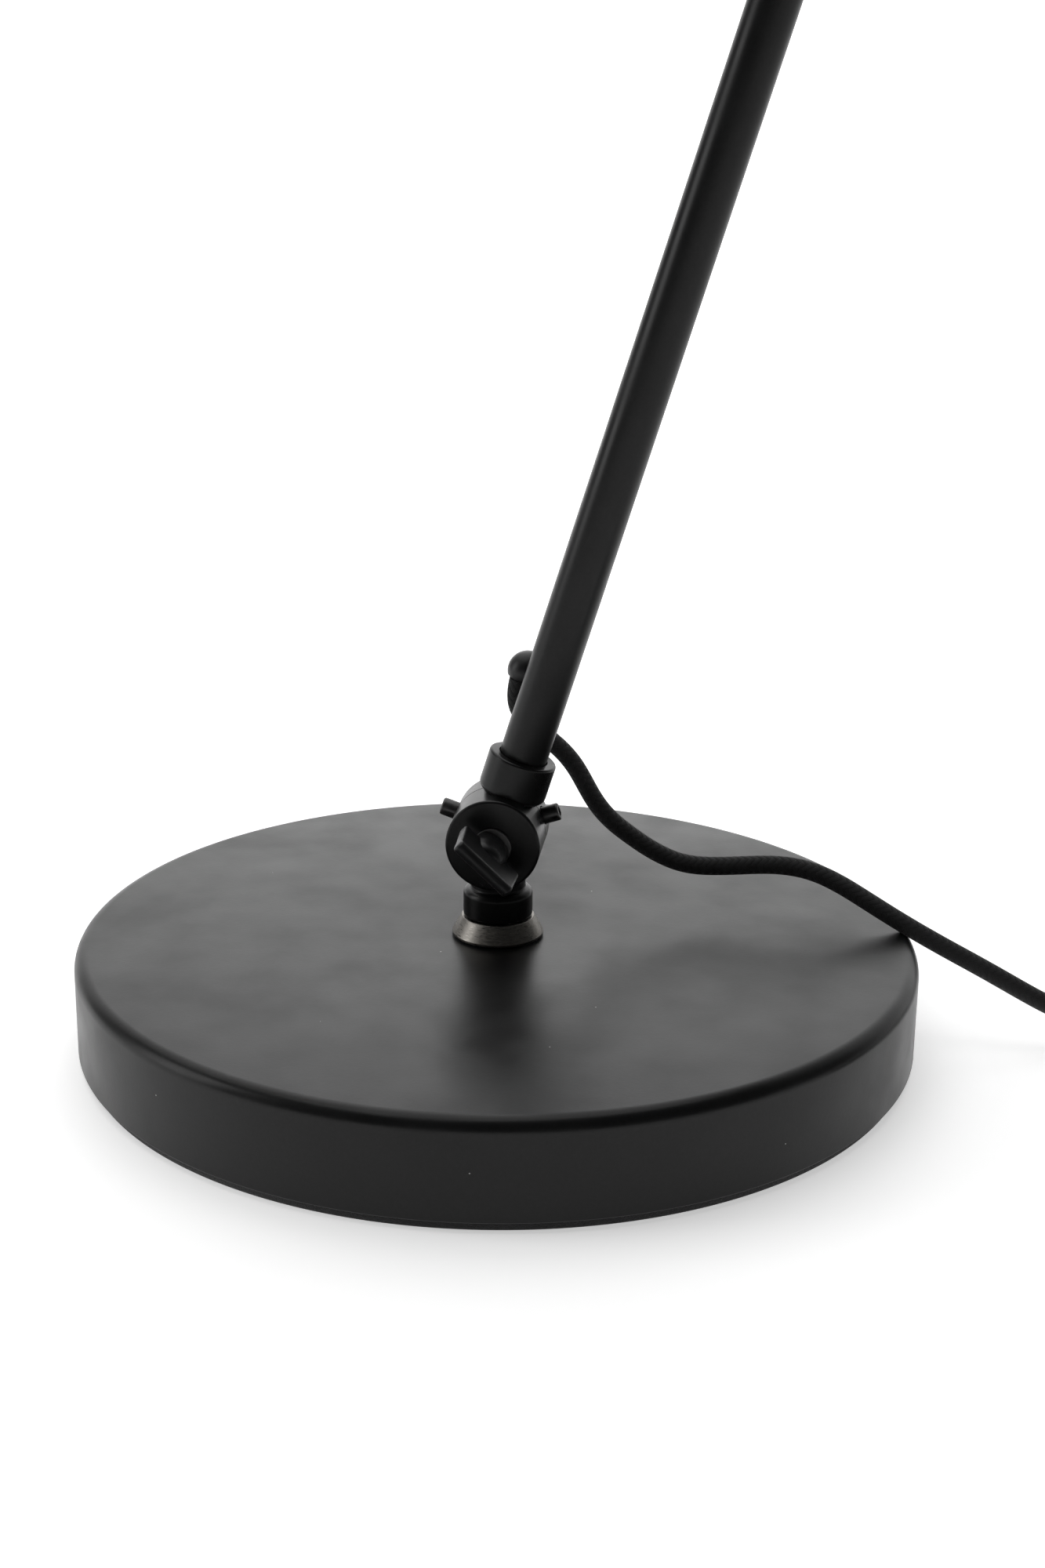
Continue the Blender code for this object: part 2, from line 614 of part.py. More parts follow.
def head_pieces(paint, steel, plastic, brass, glass, cap_metal):
    frame = head_frame
    wall, top = SHADE_WALL, SHADE_TOP
    bore = NIPPLE_RADIUS + GAP
    shade = [
        (SHADE_MOUTH_RADIUS, SHADE_MOUTH),
        (SHADE_MOUTH_RADIUS * 0.75, SHADE_MOUTH - 0.031),
        (SHADE_NECK_RADIUS + 0.010, SHADE_NECK_END + 0.011),
        (SHADE_NECK_RADIUS + 0.002, SHADE_NECK_END),
        (SHADE_NECK_RADIUS, SHADE_NECK_END - 0.010),
        (SHADE_NECK_RADIUS, top + 0.003),
        (SHADE_NECK_RADIUS - 0.003, top),
        (bore, top),
        (bore, top + wall),
        (SHADE_NECK_RADIUS - 0.003 - wall * 0.4, top + wall),
        (SHADE_NECK_RADIUS - wall, top + 0.003 + wall * 0.4),
        (SHADE_NECK_RADIUS - wall, SHADE_NECK_END - 0.010),
        (SHADE_NECK_RADIUS + 0.002 - wall, SHADE_NECK_END + wall * 0.3),
        (SHADE_NECK_RADIUS + 0.010 - wall, SHADE_NECK_END + 0.011 + wall * 0.4),
        (SHADE_MOUTH_RADIUS * 0.75 - wall, SHADE_MOUTH - 0.031 + wall * 0.7),
        (SHADE_MOUTH_RADIUS - wall, SHADE_MOUTH),
    ]
    shell = turned("shade", shade, paint, frame, 36)
    gland_place = frame @ Matrix.Translation((0, FITTING_OFFSET, 0))
    switch_place = frame @ Matrix.Translation((FITTING_OFFSET, 0, 0))
    drill(shell, SWITCH_BARREL_RADIUS + GAP, top - 0.002, top + 0.004, gland_place)
    drill(shell, SWITCH_BARREL_RADIUS + GAP, top - 0.002, top + 0.004, switch_place)
    nipple = ring(
        "shade_nipple", NIPPLE_RADIUS, NIPPLE_BORE, COLLAR_FAR - SOCKET_DEPTH + GAP, HOLDER_TOP - GAP, steel, frame, 24
    )
    nut_low = top + wall + GAP
    nut = prism(
        "shade_nut",
        [hexagon(SHADE_NUT_FLAT_RADIUS), circle(bore)],
        SHADE_NUT_THICK,
        steel,
        frame @ Matrix.Translation((0, 0, nut_low + SHADE_NUT_THICK / 2)),
    )
    gland = turned(
        "shade_cord_gland",
        [
            (SWITCH_BARREL_RADIUS, top + wall + GLAND_TAIL),
            (SWITCH_BARREL_RADIUS, top - GAP),
            (GLAND_RADIUS, top - GAP),
            (GLAND_RADIUS, top - GLAND_HEIGHT / 2),
            (GLAND_NECK_RADIUS, top - GLAND_HEIGHT),
            (CORD_RADIUS + GAP, top - GLAND_HEIGHT),
            (CORD_RADIUS + GAP, top + wall + GLAND_TAIL),
        ],
        plastic,
        gland_place,
        16,
    )
    switch = turned(
        "switch_body",
        [
            (0, HOLDER_TOP - SWITCH_CLEAR),
            (SWITCH_FLANGE_RADIUS, HOLDER_TOP - SWITCH_CLEAR),
            (SWITCH_FLANGE_RADIUS, top + wall + GAP),
            (SWITCH_BARREL_RADIUS, top + wall + GAP),
            (SWITCH_BARREL_RADIUS, top - GAP),
            (SWITCH_FLANGE_RADIUS, top - GAP),
            (SWITCH_FLANGE_RADIUS - 0.0006, top - SWITCH_RIM),
            (SWITCH_BARREL_RADIUS, top - SWITCH_RIM),
            (SWITCH_BARREL_RADIUS, top - SWITCH_NOSE),
            (BUTTON_RADIUS + GAP, top - SWITCH_NOSE),
            (BUTTON_RADIUS + GAP, top + wall + BUTTON_FLOOR),
            (0, top + wall + BUTTON_FLOOR),
        ],
        plastic,
        switch_place,
        16,
    )
    button_end = top + wall + BUTTON_FLOOR - BUTTON_TRAVEL - GAP
    button = turned(
        "switch_button",
        [
            (0, button_end),
            (BUTTON_RADIUS, button_end),
            (BUTTON_RADIUS, BUTTON_TOP + 0.0008),
            (BUTTON_RADIUS - 0.0008, BUTTON_TOP),
            (0, BUTTON_TOP),
        ],
        plastic,
        switch_place,
        14,
    )
    floor = HOLDER_TOP + HOLDER_FLOOR
    end = HOLDER_TOP + HOLDER_LENGTH
    holder = turned(
        "lampholder",
        [
            (HOLDER_RADIUS, end),
            (HOLDER_RADIUS, HOLDER_TOP + 0.014),
            (HOLDER_RADIUS - 0.004, HOLDER_TOP + 0.003),
            (HOLDER_RADIUS - 0.007, HOLDER_TOP),
            (0.0040, HOLDER_TOP),
            (0.0040, floor),
            (HOLDER_BORE, floor),
            (HOLDER_BORE, end),
        ],
        plastic,
        frame,
    )
    contact = rod("holder_contact", CONTACT_RADIUS, floor + GAP, floor + GAP + CONTACT_THICK, brass, frame, 16)
    cap_low = floor + 0.0016
    cap = turned(
        "bulb_cap",
        [
            (0, end + CAP_STANDS_OUT),
            (CAP_RADIUS, end + CAP_STANDS_OUT),
            (CAP_RADIUS, cap_low + 0.006),
            (0.006, cap_low + 0.0015),
            (0.005, cap_low),
            (0, cap_low),
        ],
        cap_metal,
        frame,
        24,
    )
    glass_low = end + CAP_STANDS_OUT + GAP
    middle = BULB_END - BULB_RADIUS
    dome = [
        (BULB_RADIUS * math.cos(a), middle + BULB_RADIUS * math.sin(a))
        for a in (math.radians(d) for d in (90, 68, 45, 22, 0))
    ]
    glass_outline = [*dome, (BULB_RADIUS * 0.93, middle - 0.009), (CAP_RADIUS, glass_low + 0.003), (CAP_RADIUS, glass_low)]
    bulb = turned("bulb_glass", [(0, BULB_END), *glass_outline[1:], (0, glass_low)], glass, frame, 20)
    return [shell, nipple, nut, gland, switch, holder, contact, cap, bulb], button


def plug_pieces(plastic, brass):
    """A flat two-pin plug lying on its side face, pins towards -X, with a tapered sleeve on the cord."""
    frame = Matrix.Translation(PLUG_TIP)
    half, neck = PLUG_WIDTH / 2, PLUG_NECK_WIDTH / 2
    outline = [
        (0, -half),
        (0.010, -half),
        (PLUG_LENGTH * 0.72, -neck - 0.003),
        (PLUG_LENGTH, -neck),
        (PLUG_LENGTH, neck),
        (PLUG_LENGTH * 0.72, neck + 0.003),
        (0.010, half),
        (0, half),
    ]
    body = meshed(prism("plug_body", [outline], PLUG_THICK, plastic, frame))
    body.name = "plug_body"
    bevel = body.modifiers.new("Edges", "BEVEL")
    bevel.width = 0.0016
    bevel.segments = 2
    bevel.limit_method = "ANGLE"
    pieces = [body]
    along = Matrix.Rotation(math.radians(90), 4, "Y")
    for name, side in (("plug_pin_left", -1), ("plug_pin_right", 1)):
        place = frame @ Matrix.Translation((0, side * PIN_SPACING / 2, 0)) @ along
        pin = [
            (0, -GAP),
            (PIN_RADIUS, -GAP),
            (PIN_RADIUS, -PIN_LENGTH + 0.001),
            (PIN_RADIUS - 0.001, -PIN_LENGTH),
            (0, -PIN_LENGTH),
        ]
        pieces.append(turned(name, pin, brass, place, 14))
    start = PLUG_LENGTH + GAP
    sleeve = [
        (0, start + SLEEVE_LENGTH),
        (CORD_RADIUS + 0.0010, start + SLEEVE_LENGTH),
        (0.0058, start),
        (0, start),
    ]
    pieces.append(turned("plug_sleeve", sleeve, plastic, frame @ along, 20))
    return pieces


def coil_pieces(textile, plastic):
    coil_place = Matrix.Translation(COIL_CENTRE)
    round_over = 0.0022
    outline = [
        (COIL_OUTER - round_over, COIL_TOP),
        (COIL_OUTER, COIL_TOP - round_over),
        (COIL_OUTER, COIL_BOTTOM + round_over),
        (COIL_OUTER - round_over, COIL_BOTTOM),
        (COIL_INNER + round_over, COIL_BOTTOM),
        (COIL_INNER, COIL_BOTTOM + round_over),
        (COIL_INNER, COIL_TOP - round_over),
        (COIL_INNER + round_over, COIL_TOP),
    ]
    coil = turned("cord_coil", outline, textile, coil_place, 28)
    middle = (COIL_INNER + COIL_OUTER) / 2
    half_width = (COIL_OUTER - COIL_INNER) / 2 + TIE_ROOM
    low, high = COIL_BOTTOM - GAP, COIL_TOP + GAP
    centre = (low + high) / 2
    half_height = (high - low) / 2

    def frame_outline(grow):
        x, y = half_width + grow, half_height + grow
        return [(-x, -y), (x, -y), (x, y), (-x, y)]

    tie_place = (
        Matrix.Translation(COIL_CENTRE)
        @ Matrix.Rotation(TIE_ANGLE, 4, "Z")
        @ Matrix.Translation((middle, 0, centre))
        @ Matrix.Rotation(math.radians(90), 4, "X")
    )
    tie = prism("cord_tie", [frame_outline(TIE_THICK), frame_outline(0)], TIE_WIDTH, plastic, tie_place)
    return [coil, tie]


def bridge_route(first, second, hinge, outward, rise, middle_rise):
    """The cord's way past a knuckle: out of one mouth, behind the joint on its outer side, into the other."""
    a, a_along = first
    b, b_along = second
    aside = Vector((0, rise, 0))
    return [
        a,
        a + a_along * 0.004,
        a + a_along * 0.020 + aside * 0.62,
        hinge + outward + Vector((0, middle_rise, 0)),
        b + b_along * 0.020 + aside * 0.62,
        b + b_along * 0.004,
        b,
    ]


def mouth_of(frame, distance, towards_hinge, turn=0.0):
    """The point just outside a cowl's mouth, and the direction in which the cord leaves it."""
    place = cowl_place(frame, distance, towards_hinge, turn)
    away = -(place.to_3x3() @ Vector((0, 0, 1)))
    return place.translation + away * GAP, away


def inside_tube(frame, near_mouth, far_mouth):
    """The cord's way along the middle of an arm's tube, between its two cowls."""
    near, far = near_mouth + CORD_INSIDE, far_mouth - CORD_INSIDE
    return [frame @ Vector((0, 0, distance)) for distance in (near, (near + far) / 2, far)]


def build():
    clear_scene()
    paint = finish("satin_black_paint", (0.012, 0.012, 0.012), 0.45)
    shade_paint = finish("shade_black_paint", (0.012, 0.012, 0.012), 0.45)
    bare = finish("blackened_brushed_steel", (0.10, 0.10, 0.09), 0.35, 1.0)
    steel = finish("black_oxide_steel", (0.04, 0.04, 0.04), 0.4, 1.0)
    iron = finish("cast_iron", (0.08, 0.08, 0.08), 0.7, 0.8)
    felt = finish("black_felt", (0.01, 0.01, 0.01), 1.0)
    board = finish("grey_board", (0.2, 0.19, 0.17), 0.9)
    plastic = finish("black_plastic", (0.01, 0.01, 0.01), 0.35)
    textile = finish("black_textile", (0.008, 0.008, 0.008), 0.9)
    brass = finish("plain_brass", (0.75, 0.68, 0.5), 0.3, 1.0)
    cap_metal = finish("nickel_plate", (0.7, 0.7, 0.68), 0.3, 1.0)
    glass = finish("opal_diffuser", (0.9, 0.89, 0.86), 0.3)

    base, seat_top, stem_low = base_pieces(paint, iron, steel, bare, felt, board)
    base_collar = (BASE_COLLAR_RADIUS, BASE_COLLAR_NEAR, HINGE_HEIGHT - seat_top - GAP)
    lower_knuckle = knuckle_half(
        "lower_knuckle_rear", base_collar_frame, False, paint, base_collar, SWIVEL_BOLT_RADIUS
    )
    upright = hinge_frame(lower_hinge, 0)
    bore_for_stops(lower_knuckle, upright)
    left = stop_screw("stop_screw_left", upright, -1, steel)
    right = stop_screw("stop_screw_right", upright, 1, steel)
    bolt, washer, lower_knob = knuckle_fittings("lower", upright, steel, plastic)

    mouth, away = mouth_of(lower_frame, OUTLET_MOUTH, True, OUTLET_CORD_TURN)
    lead = cord("cord_lead", [mouth, mouth + away * CORD_STRAIGHT, *LEAD_ROUTE], textile)
    tail_end = PLUG_TIP + Vector((PLUG_LENGTH + SLEEVE_LENGTH + 3 * GAP, 0, 0))
    tail = cord("cord_tail", [*TAIL_ROUTE, tail_end + Vector((0.004, 0, 0)), tail_end], textile)
    cord_set = [lead, tail, *coil_pieces(textile, plastic), *plug_pieces(plastic, brass)]

    swivel_axis = joint_empty("base_swivel_axis", (0, 0, HINGE_HEIGHT))
    hang(swivel_axis, None, [lower_knuckle, swivel_bolt(seat_top, stem_low, steel), bolt, left, right, *cord_set])

    elbow_mouth = LOWER_LENGTH - COWL_MOUTH
    lower_half = knuckle_half("lower_knuckle_front", lower_frame, True, paint)
    elbow_rear = knuckle_half("elbow_knuckle_rear", elbow_collar_frame, False, paint)
    elbow_bolt, elbow_washer, elbow_knob = knuckle_fittings("elbow", upper_frame, steel, plastic)
    lower_lead = cord(
        "lower_arm_cord",
        inside_tube(lower_frame, OUTLET_MOUTH, elbow_mouth),
        textile,
        CORD_STEP_INSIDE,
    )
    lower_arm = [
        lower_half,
        washer,
        arm_tube(
            "lower_arm_tube",
            lower_frame,
            LOWER_LENGTH,
            [(OUTLET_MOUTH + COWL_LENGTH / 2, OUTLET_TURN), (elbow_mouth - COWL_LENGTH / 2, 0.0)],
            paint,
        ),
        cowl("lower_cord_cowl", lower_frame, OUTLET_MOUTH, True, plastic, OUTLET_TURN),
        cowl("elbow_cord_cowl_below", lower_frame, elbow_mouth, False, plastic),
        lower_lead,
        elbow_rear,
        elbow_bolt,
    ]
    lower_axis = joint_empty("lower_tilt_axis", lower_hinge)
    hang(lower_axis, swivel_axis, lower_arm)
    lower_knob_axis = joint_empty("lower_knob_axis", lower_hinge)
    hang(lower_knob_axis, lower_axis, [lower_knob])

    outward = (upper_frame.to_3x3() @ Vector((0, 0, -1)) + lower_frame.to_3x3() @ Vector((0, 0, 1))).normalized()
    elbow_bridge = cord(
        "elbow_cord_bridge",
        bridge_route(
            mouth_of(lower_frame, elbow_mouth, False),
            mouth_of(upper_frame, COWL_MOUTH, True),
            elbow_hinge,
            outward * BRIDGE_OUTWARD,
            BRIDGE_LIFT,
            ELBOW_BRIDGE_REAR,
        ),
        textile,
    )
    head_mouth = UPPER_LENGTH - COWL_MOUTH
    wrist_frame = upper_frame @ Matrix.Translation((0, 0, UPPER_LENGTH))
    upper_half = knuckle_half("elbow_knuckle_front", upper_frame, True, paint)
    head_rear = knuckle_half("head_knuckle_rear", wrist_collar_frame, False, paint)
    head_bolt, head_washer, head_knob = knuckle_fittings("head", wrist_frame, steel, plastic)
    upper_arm = [
        upper_half,
        elbow_washer,
        arm_tube(
            "upper_arm_tube",
            upper_frame,
            UPPER_LENGTH,
            [(COWL_MOUTH + COWL_LENGTH / 2, 0.0), (head_mouth - COWL_LENGTH / 2, 0.0)],
            paint,
        ),
        cowl("elbow_cord_cowl_above", upper_frame, COWL_MOUTH, True, plastic),
        cowl("head_cord_cowl", upper_frame, head_mouth, False, plastic),
        cord(
            "upper_arm_cord",
            inside_tube(upper_frame, COWL_MOUTH, head_mouth),
            textile,
            CORD_STEP_INSIDE,
        ),
        elbow_bridge,
        head_rear,
        head_bolt,
    ]
    elbow_axis = joint_empty("elbow_axis", elbow_hinge)
    hang(elbow_axis, lower_axis, upper_arm)
    elbow_knob_axis = joint_empty("elbow_knob_axis", elbow_hinge)
    hang(elbow_knob_axis, elbow_axis, [elbow_knob])

    down = head_frame.to_3x3() @ Vector((0, 0, 1))
    gland_top = head_frame @ Vector((0, FITTING_OFFSET, SHADE_TOP - GLAND_HEIGHT))
    head_outward = (-down + wrist_frame.to_3x3() @ Vector((0, 0, 1))).normalized()
    head_bridge = cord(
        "head_cord_bridge",
        bridge_route(
            mouth_of(upper_frame, head_mouth, False),
            (gland_top - down * GAP, -down),
            head_hinge,
            head_outward * BRIDGE_OUTWARD,
            BRIDGE_LIFT,
            HEAD_BRIDGE_REAR,
        ),
        textile,
    )
    head, button = head_pieces(shade_paint, steel, plastic, brass, glass, cap_metal)
    head_half = knuckle_half("head_knuckle_front", head_frame, True, paint, socket=NIPPLE_RADIUS)
    head_axis = joint_empty("head_axis", head_hinge)
    hang(head_axis, elbow_axis, [head_half, head_washer, head_bridge, *head])
    head_knob_axis = joint_empty("head_knob_axis", head_hinge)
    hang(head_knob_axis, head_axis, [head_knob])
    button_axis = joint_empty("switch_axis", head_frame @ Vector((FITTING_OFFSET, 0, BUTTON_TOP)))
    hang(button_axis, head_axis, [button])


build()
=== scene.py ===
"""Architect desk lamp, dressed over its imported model: smooth spun, cast and moulded surfaces, real
finishes and a braided cord.

Metres, +Z up. The origin is the centre of the felt's underside, the wing knobs face -Y, and the lower
arm leans to +X.
"""

import math

import bmesh
import bpy
import numpy as np
from mathutils import Matrix, Vector


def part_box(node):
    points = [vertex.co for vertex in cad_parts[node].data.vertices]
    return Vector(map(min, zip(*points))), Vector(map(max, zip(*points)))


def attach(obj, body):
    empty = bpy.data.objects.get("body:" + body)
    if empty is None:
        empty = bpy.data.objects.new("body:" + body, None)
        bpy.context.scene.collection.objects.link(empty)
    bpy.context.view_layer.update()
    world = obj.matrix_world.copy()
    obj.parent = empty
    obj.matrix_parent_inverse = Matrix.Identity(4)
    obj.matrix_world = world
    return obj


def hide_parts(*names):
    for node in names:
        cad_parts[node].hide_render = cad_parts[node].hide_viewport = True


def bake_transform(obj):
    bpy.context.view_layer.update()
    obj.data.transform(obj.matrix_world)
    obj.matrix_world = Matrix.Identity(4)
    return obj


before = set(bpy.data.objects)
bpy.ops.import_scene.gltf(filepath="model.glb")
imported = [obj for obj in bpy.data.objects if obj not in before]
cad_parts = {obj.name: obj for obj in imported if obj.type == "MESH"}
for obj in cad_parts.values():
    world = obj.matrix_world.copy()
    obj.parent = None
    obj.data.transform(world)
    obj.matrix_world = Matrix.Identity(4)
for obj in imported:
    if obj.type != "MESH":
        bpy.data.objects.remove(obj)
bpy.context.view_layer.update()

# Studio: a pale sweep that runs level under the lamp and turns up far behind it.
# The camera stands a little over half a metre in front, above the base, and looks down at it.
CAMERA_PLACE = (0.07640, -0.58033, 0.26488)
CAMERA_RIGHT = (0.99226, 0.12363, 0.01175)
CAMERA_UP = (-0.04970, 0.30864, 0.94988)
CAMERA_BACK = (0.11381, -0.94311, 0.31240)

lens = bpy.data.cameras.new("studio_camera")
lens.lens = 52.389
lens.sensor_width = 36.0
lens.clip_start = 0.02
lens.clip_end = 60.0
camera = bpy.data.objects.new("studio_camera", lens)
camera.matrix_world = Matrix((CAMERA_RIGHT, CAMERA_UP, CAMERA_BACK)).transposed().to_4x4()
camera.location = CAMERA_PLACE
bpy.context.scene.collection.objects.link(camera)
bpy.context.scene.camera = camera
bpy.context.scene.view_settings.view_transform = "Standard"


def joined_grid(name, points, u=None, v=None, round_columns=True, round_rows=False):
    """A grid of points, rows by columns, made one surface: each four neighbours become a face. Columns
    close on themselves, and rows too for a ring. u and v give the pattern's coordinates at each line."""
    rows, columns = points.shape[:2]
    row_faces = rows if round_rows else rows - 1
    column_faces = columns if round_columns else columns - 1
    i, j = np.meshgrid(np.arange(row_faces), np.arange(column_faces), indexing="ij")
    next_i, next_j = (i + 1) % rows, (j + 1) % columns
    this_row, next_row = i * columns, next_i * columns
    quads = np.stack([this_row + j, this_row + next_j, next_row + next_j, next_row + j], -1)
    mesh = bpy.data.meshes.new(name)
    mesh.from_pydata(points.reshape(-1, 3).tolist(), [], quads.reshape(-1, 4).tolist())
    if u is not None:
        across = np.stack([u[j], u[j + 1], u[j + 1], u[j]], -1)
        along = np.stack([v[i], v[i], v[i + 1], v[i + 1]], -1)
        layer = mesh.uv_layers.new(name="pattern")
        layer.data.foreach_set("uv", np.stack([across, along], -1).astype(np.float32).ravel())
    piece = bpy.data.objects.new(name, mesh)
    bpy.context.scene.collection.objects.link(piece)
    return piece


def finish(name, colour, roughness, metallic=0.0, **shader_values):
    """A finish with one shader. The other values go straight onto the shader's own sockets."""
    material = bpy.data.materials.new(name)
    material.use_nodes = True
    sockets = material.node_tree.nodes["Principled BSDF"].inputs
    sockets["Base Color"].default_value = (*colour, 1.0)
    sockets["Roughness"].default_value = roughness
    sockets["Metallic"].default_value = metallic
    for socket, value in shader_values.items():
        sockets[socket.replace("_", " ")].default_value = value
    return material


def step(material, kind, inputs, **settings):
    """One node of a finish or of the air. An input is a value or another step's output."""
    made = material.node_tree.nodes.new(kind)
    for setting, value in settings.items():
        setattr(made, setting, value)
    for socket, value in inputs.items():
        if isinstance(value, bpy.types.NodeSocket):
            material.node_tree.links.new(value, made.inputs[socket])
        else:
            made.inputs[socket].default_value = value
    return made


def place_in(material):
    """Where a point of the piece is, in metres."""
    return step(material, "ShaderNodeTexCoord", {}).outputs["Object"]


def grain(material, size, detail=4.0, where=None, roughness=0.5):
    """Cloudy grain whose lumps are about size metres across, from 0 to 1."""
    inputs = {"Vector": where or place_in(material), "Scale": 1 / size}
    inputs.update({"Detail": detail, "Roughness": roughness})
    return step(material, "ShaderNodeTexNoise", inputs).outputs["Fac"]


def tint(material, amount, low, high):
    """A colour between two, by an amount from 0 to 1."""
    mixed = step(material, "ShaderNodeMix", {"Factor": amount}, data_type="RGBA")
    mixed.inputs[6].default_value = (*low, 1.0)
    mixed.inputs[7].default_value = (*high, 1.0)
    return mixed.outputs[2]


def onto(material, socket, value):
    """Links a step's output to one of the shader's own sockets."""
    material.node_tree.links.new(value, material.node_tree.nodes["Principled BSDF"].inputs[socket])


SWEEP_FRONT, SWEEP_TURN, SWEEP_RADIUS, SWEEP_TOP, SWEEP_HALF_WIDTH = -4.0, 2.6, 1.2, 5.0, 6.0
bend = np.linspace(0.0, math.pi / 2, 24)
rising_y = SWEEP_TURN + SWEEP_RADIUS * np.sin(bend)
sweep_y = np.concatenate([[SWEEP_FRONT, 0.0], rising_y, [SWEEP_TURN + SWEEP_RADIUS]])
sweep_z = np.concatenate([[0.0, 0.0], SWEEP_RADIUS * (1 - np.cos(bend)), [SWEEP_TOP]])
sweep_x = np.array([-SWEEP_HALF_WIDTH, SWEEP_HALF_WIDTH])
sweep_points = np.stack(np.broadcast_arrays(sweep_x[None, :], sweep_y[:, None], sweep_z[:, None]), -1)
sweep = joined_grid("studio_sweep", sweep_points, round_columns=False)
sweep.data.shade_smooth()
PAPER_GLOW = 0.5
paper_light = {"Emission_Color": (1.0, 1.0, 1.0, 1.0), "Emission_Strength": PAPER_GLOW}
paper = finish("pale_paper", (0.93, 0.93, 0.93), 0.9, **paper_light)
onto(paper, "Base Color", tint(paper, grain(paper, 0.4), (0.925, 0.925, 0.925), (0.935, 0.935, 0.935)))
sweep.data.materials.append(paper)

# The room is bright overhead and behind the lamp, and dim behind the camera.
AIR_LEVEL, AIR_TOWARDS_BACK, AIR_TOWARDS_TOP = 0.82, 0.34, 0.30
world = bpy.data.worlds.new("studio_air")
world.use_nodes = True
towards = step(world, "ShaderNodeTexCoord", {}).outputs["Generated"]
direction = step(world, "ShaderNodeSeparateXYZ", {0: towards}).outputs
back_terms = {0: direction[1], 1: AIR_TOWARDS_BACK, 2: AIR_LEVEL}
backwards = step(world, "ShaderNodeMath", back_terms, operation="MULTIPLY_ADD")
top_terms = {0: direction[2], 1: AIR_TOWARDS_TOP, 2: backwards.outputs[0]}
upwards = step(world, "ShaderNodeMath", top_terms, operation="MULTIPLY_ADD")
world.node_tree.links.new(upwards.outputs[0], world.node_tree.nodes["Background"].inputs["Strength"])
bpy.context.scene.world = world


def softbox(name, place, target, width, height, watts):
    """A rectangle of soft light at a place, turned to a target."""
    light = bpy.data.lights.new(name, "AREA")
    light.shape = "RECTANGLE"
    light.size = width
    light.size_y = height
    light.energy = watts
    holder = bpy.data.objects.new(name, light)
    holder.location = place
    holder.rotation_euler = (Vector(target) - Vector(place)).to_track_quat("-Z", "Y").to_euler()
    bpy.context.scene.collection.objects.link(holder)


softbox("top_softbox", (-0.4, 0.5, 2.0), (0.0, 0.0, 0.1), 2.2, 2.2, 26.0)
softbox("left_softbox", (-1.8, -0.3, 0.7), (0.0, 0.0, 0.1), 0.8, 1.2, 9.0)
softbox("back_softbox", (-0.5, 1.8, 2.0), (-0.3, 3.6, 0.9), 3.0, 1.2, 60.0)

# Cord: two-core flex in a black braided textile sleeve, 5.2 mm thick and about 1.8 m long. It leaves
# the lower cowl, swings round behind the arm, lies over the base and drops to the desk, where the rest
# is coiled and tied.
CORD_RADIUS = 0.0026
CORD_SIDES = 24
CORD_RING_SPACING = 0.0009
CORD_RELAX = 0.0035
CORD_STRAIGHT = 0.0035
CORD_EXIT = (0.004052, 0.008484, 0.099632)
CORD_OUTWARD = (-0.28987, 0.0, -0.95707)
LEAD_ROUTE = [
    (0.0031, 0.0093, 0.0934),
    (0.0035, 0.0108, 0.0903),
    (0.0052, 0.0126, 0.0871),
    (0.0082, 0.0146, 0.0838),
    (0.0125, 0.0168, 0.0799),
    (0.0161, 0.0185, 0.0760),
    (0.0191, 0.0197, 0.0717),
    (0.0217, 0.0206, 0.0663),
    (0.0247, 0.0214, 0.0607),
    (0.0291, 0.0225, 0.0554),
    (0.0346, 0.0237, 0.0510),
    (0.0406, 0.0243, 0.0468),
    (0.0492, 0.0249, 0.0431),
    (0.0582, 0.0255, 0.0427),
    (0.0672, 0.0259, 0.0434),
    (0.0761, 0.0257, 0.0441),
    (0.0850, 0.0246, 0.0433),
    (0.0932, 0.0226, 0.0405),
    (0.1008, 0.0203, 0.0368),
    (0.1086, 0.0181, 0.0329),
    (0.1166, 0.0164, 0.0290),
    (0.1248, 0.0152, 0.0251),
    (0.1330, 0.0141, 0.0213),
    (0.1410, 0.0130, 0.0174),
    (0.1489, 0.0121, 0.0135),
    (0.1571, 0.0116, 0.0100),
    (0.1657, 0.0116, 0.0071),
    (0.1746, 0.0118, 0.0052),
    (0.1835, 0.0120, 0.0043),
]
TAIL_ROUTE = [
    (0.2235, 0.0122, 0.0108),
    (0.2350, 0.0124, 0.0070),
    (0.2495, 0.0127, 0.0040),
    (0.2620, 0.0170, 0.0030),
    (0.2698, 0.0275, 0.0030),
    (0.2698, 0.0400, 0.0034),
    (0.2620, 0.0508, 0.0052),
    (0.2499, 0.0550, 0.0072),
    (0.2459, 0.0550, 0.0072),
]
COIL_CENTRE = (0.204, -0.022)
COIL_RADII = [0.0332, 0.0280, 0.0228, 0.0228, 0.0280, 0.0332, 0.0280, 0.0332]
COIL_HEIGHTS = [0.0041, 0.0041, 0.0041, 0.0093, 0.0093, 0.0093, 0.0145, 0.0145]
COIL_POINTS_A_TURN = 40
COIL_ENTRY_RADIUS = 0.034
COIL_SHIFT = 0.5


def closed_and_smooth(piece, sharp_degrees=35.0):
    """Welds seams and poles, turns the faces outwards and keeps only the hard edges sharp."""
    shell = bmesh.new()
    shell.from_mesh(piece.data)
    bmesh.ops.remove_doubles(shell, verts=shell.verts, dist=0.0000008)
    bmesh.ops.dissolve_degenerate(shell, edges=shell.edges, dist=0.0000004)
    bmesh.ops.recalc_face_normals(shell, faces=shell.faces)
    shell.to_mesh(piece.data)
    shell.free()
    piece.data.shade_smooth()
    piece.data.set_sharp_from_angle(angle=math.radians(sharp_degrees))
    return piece


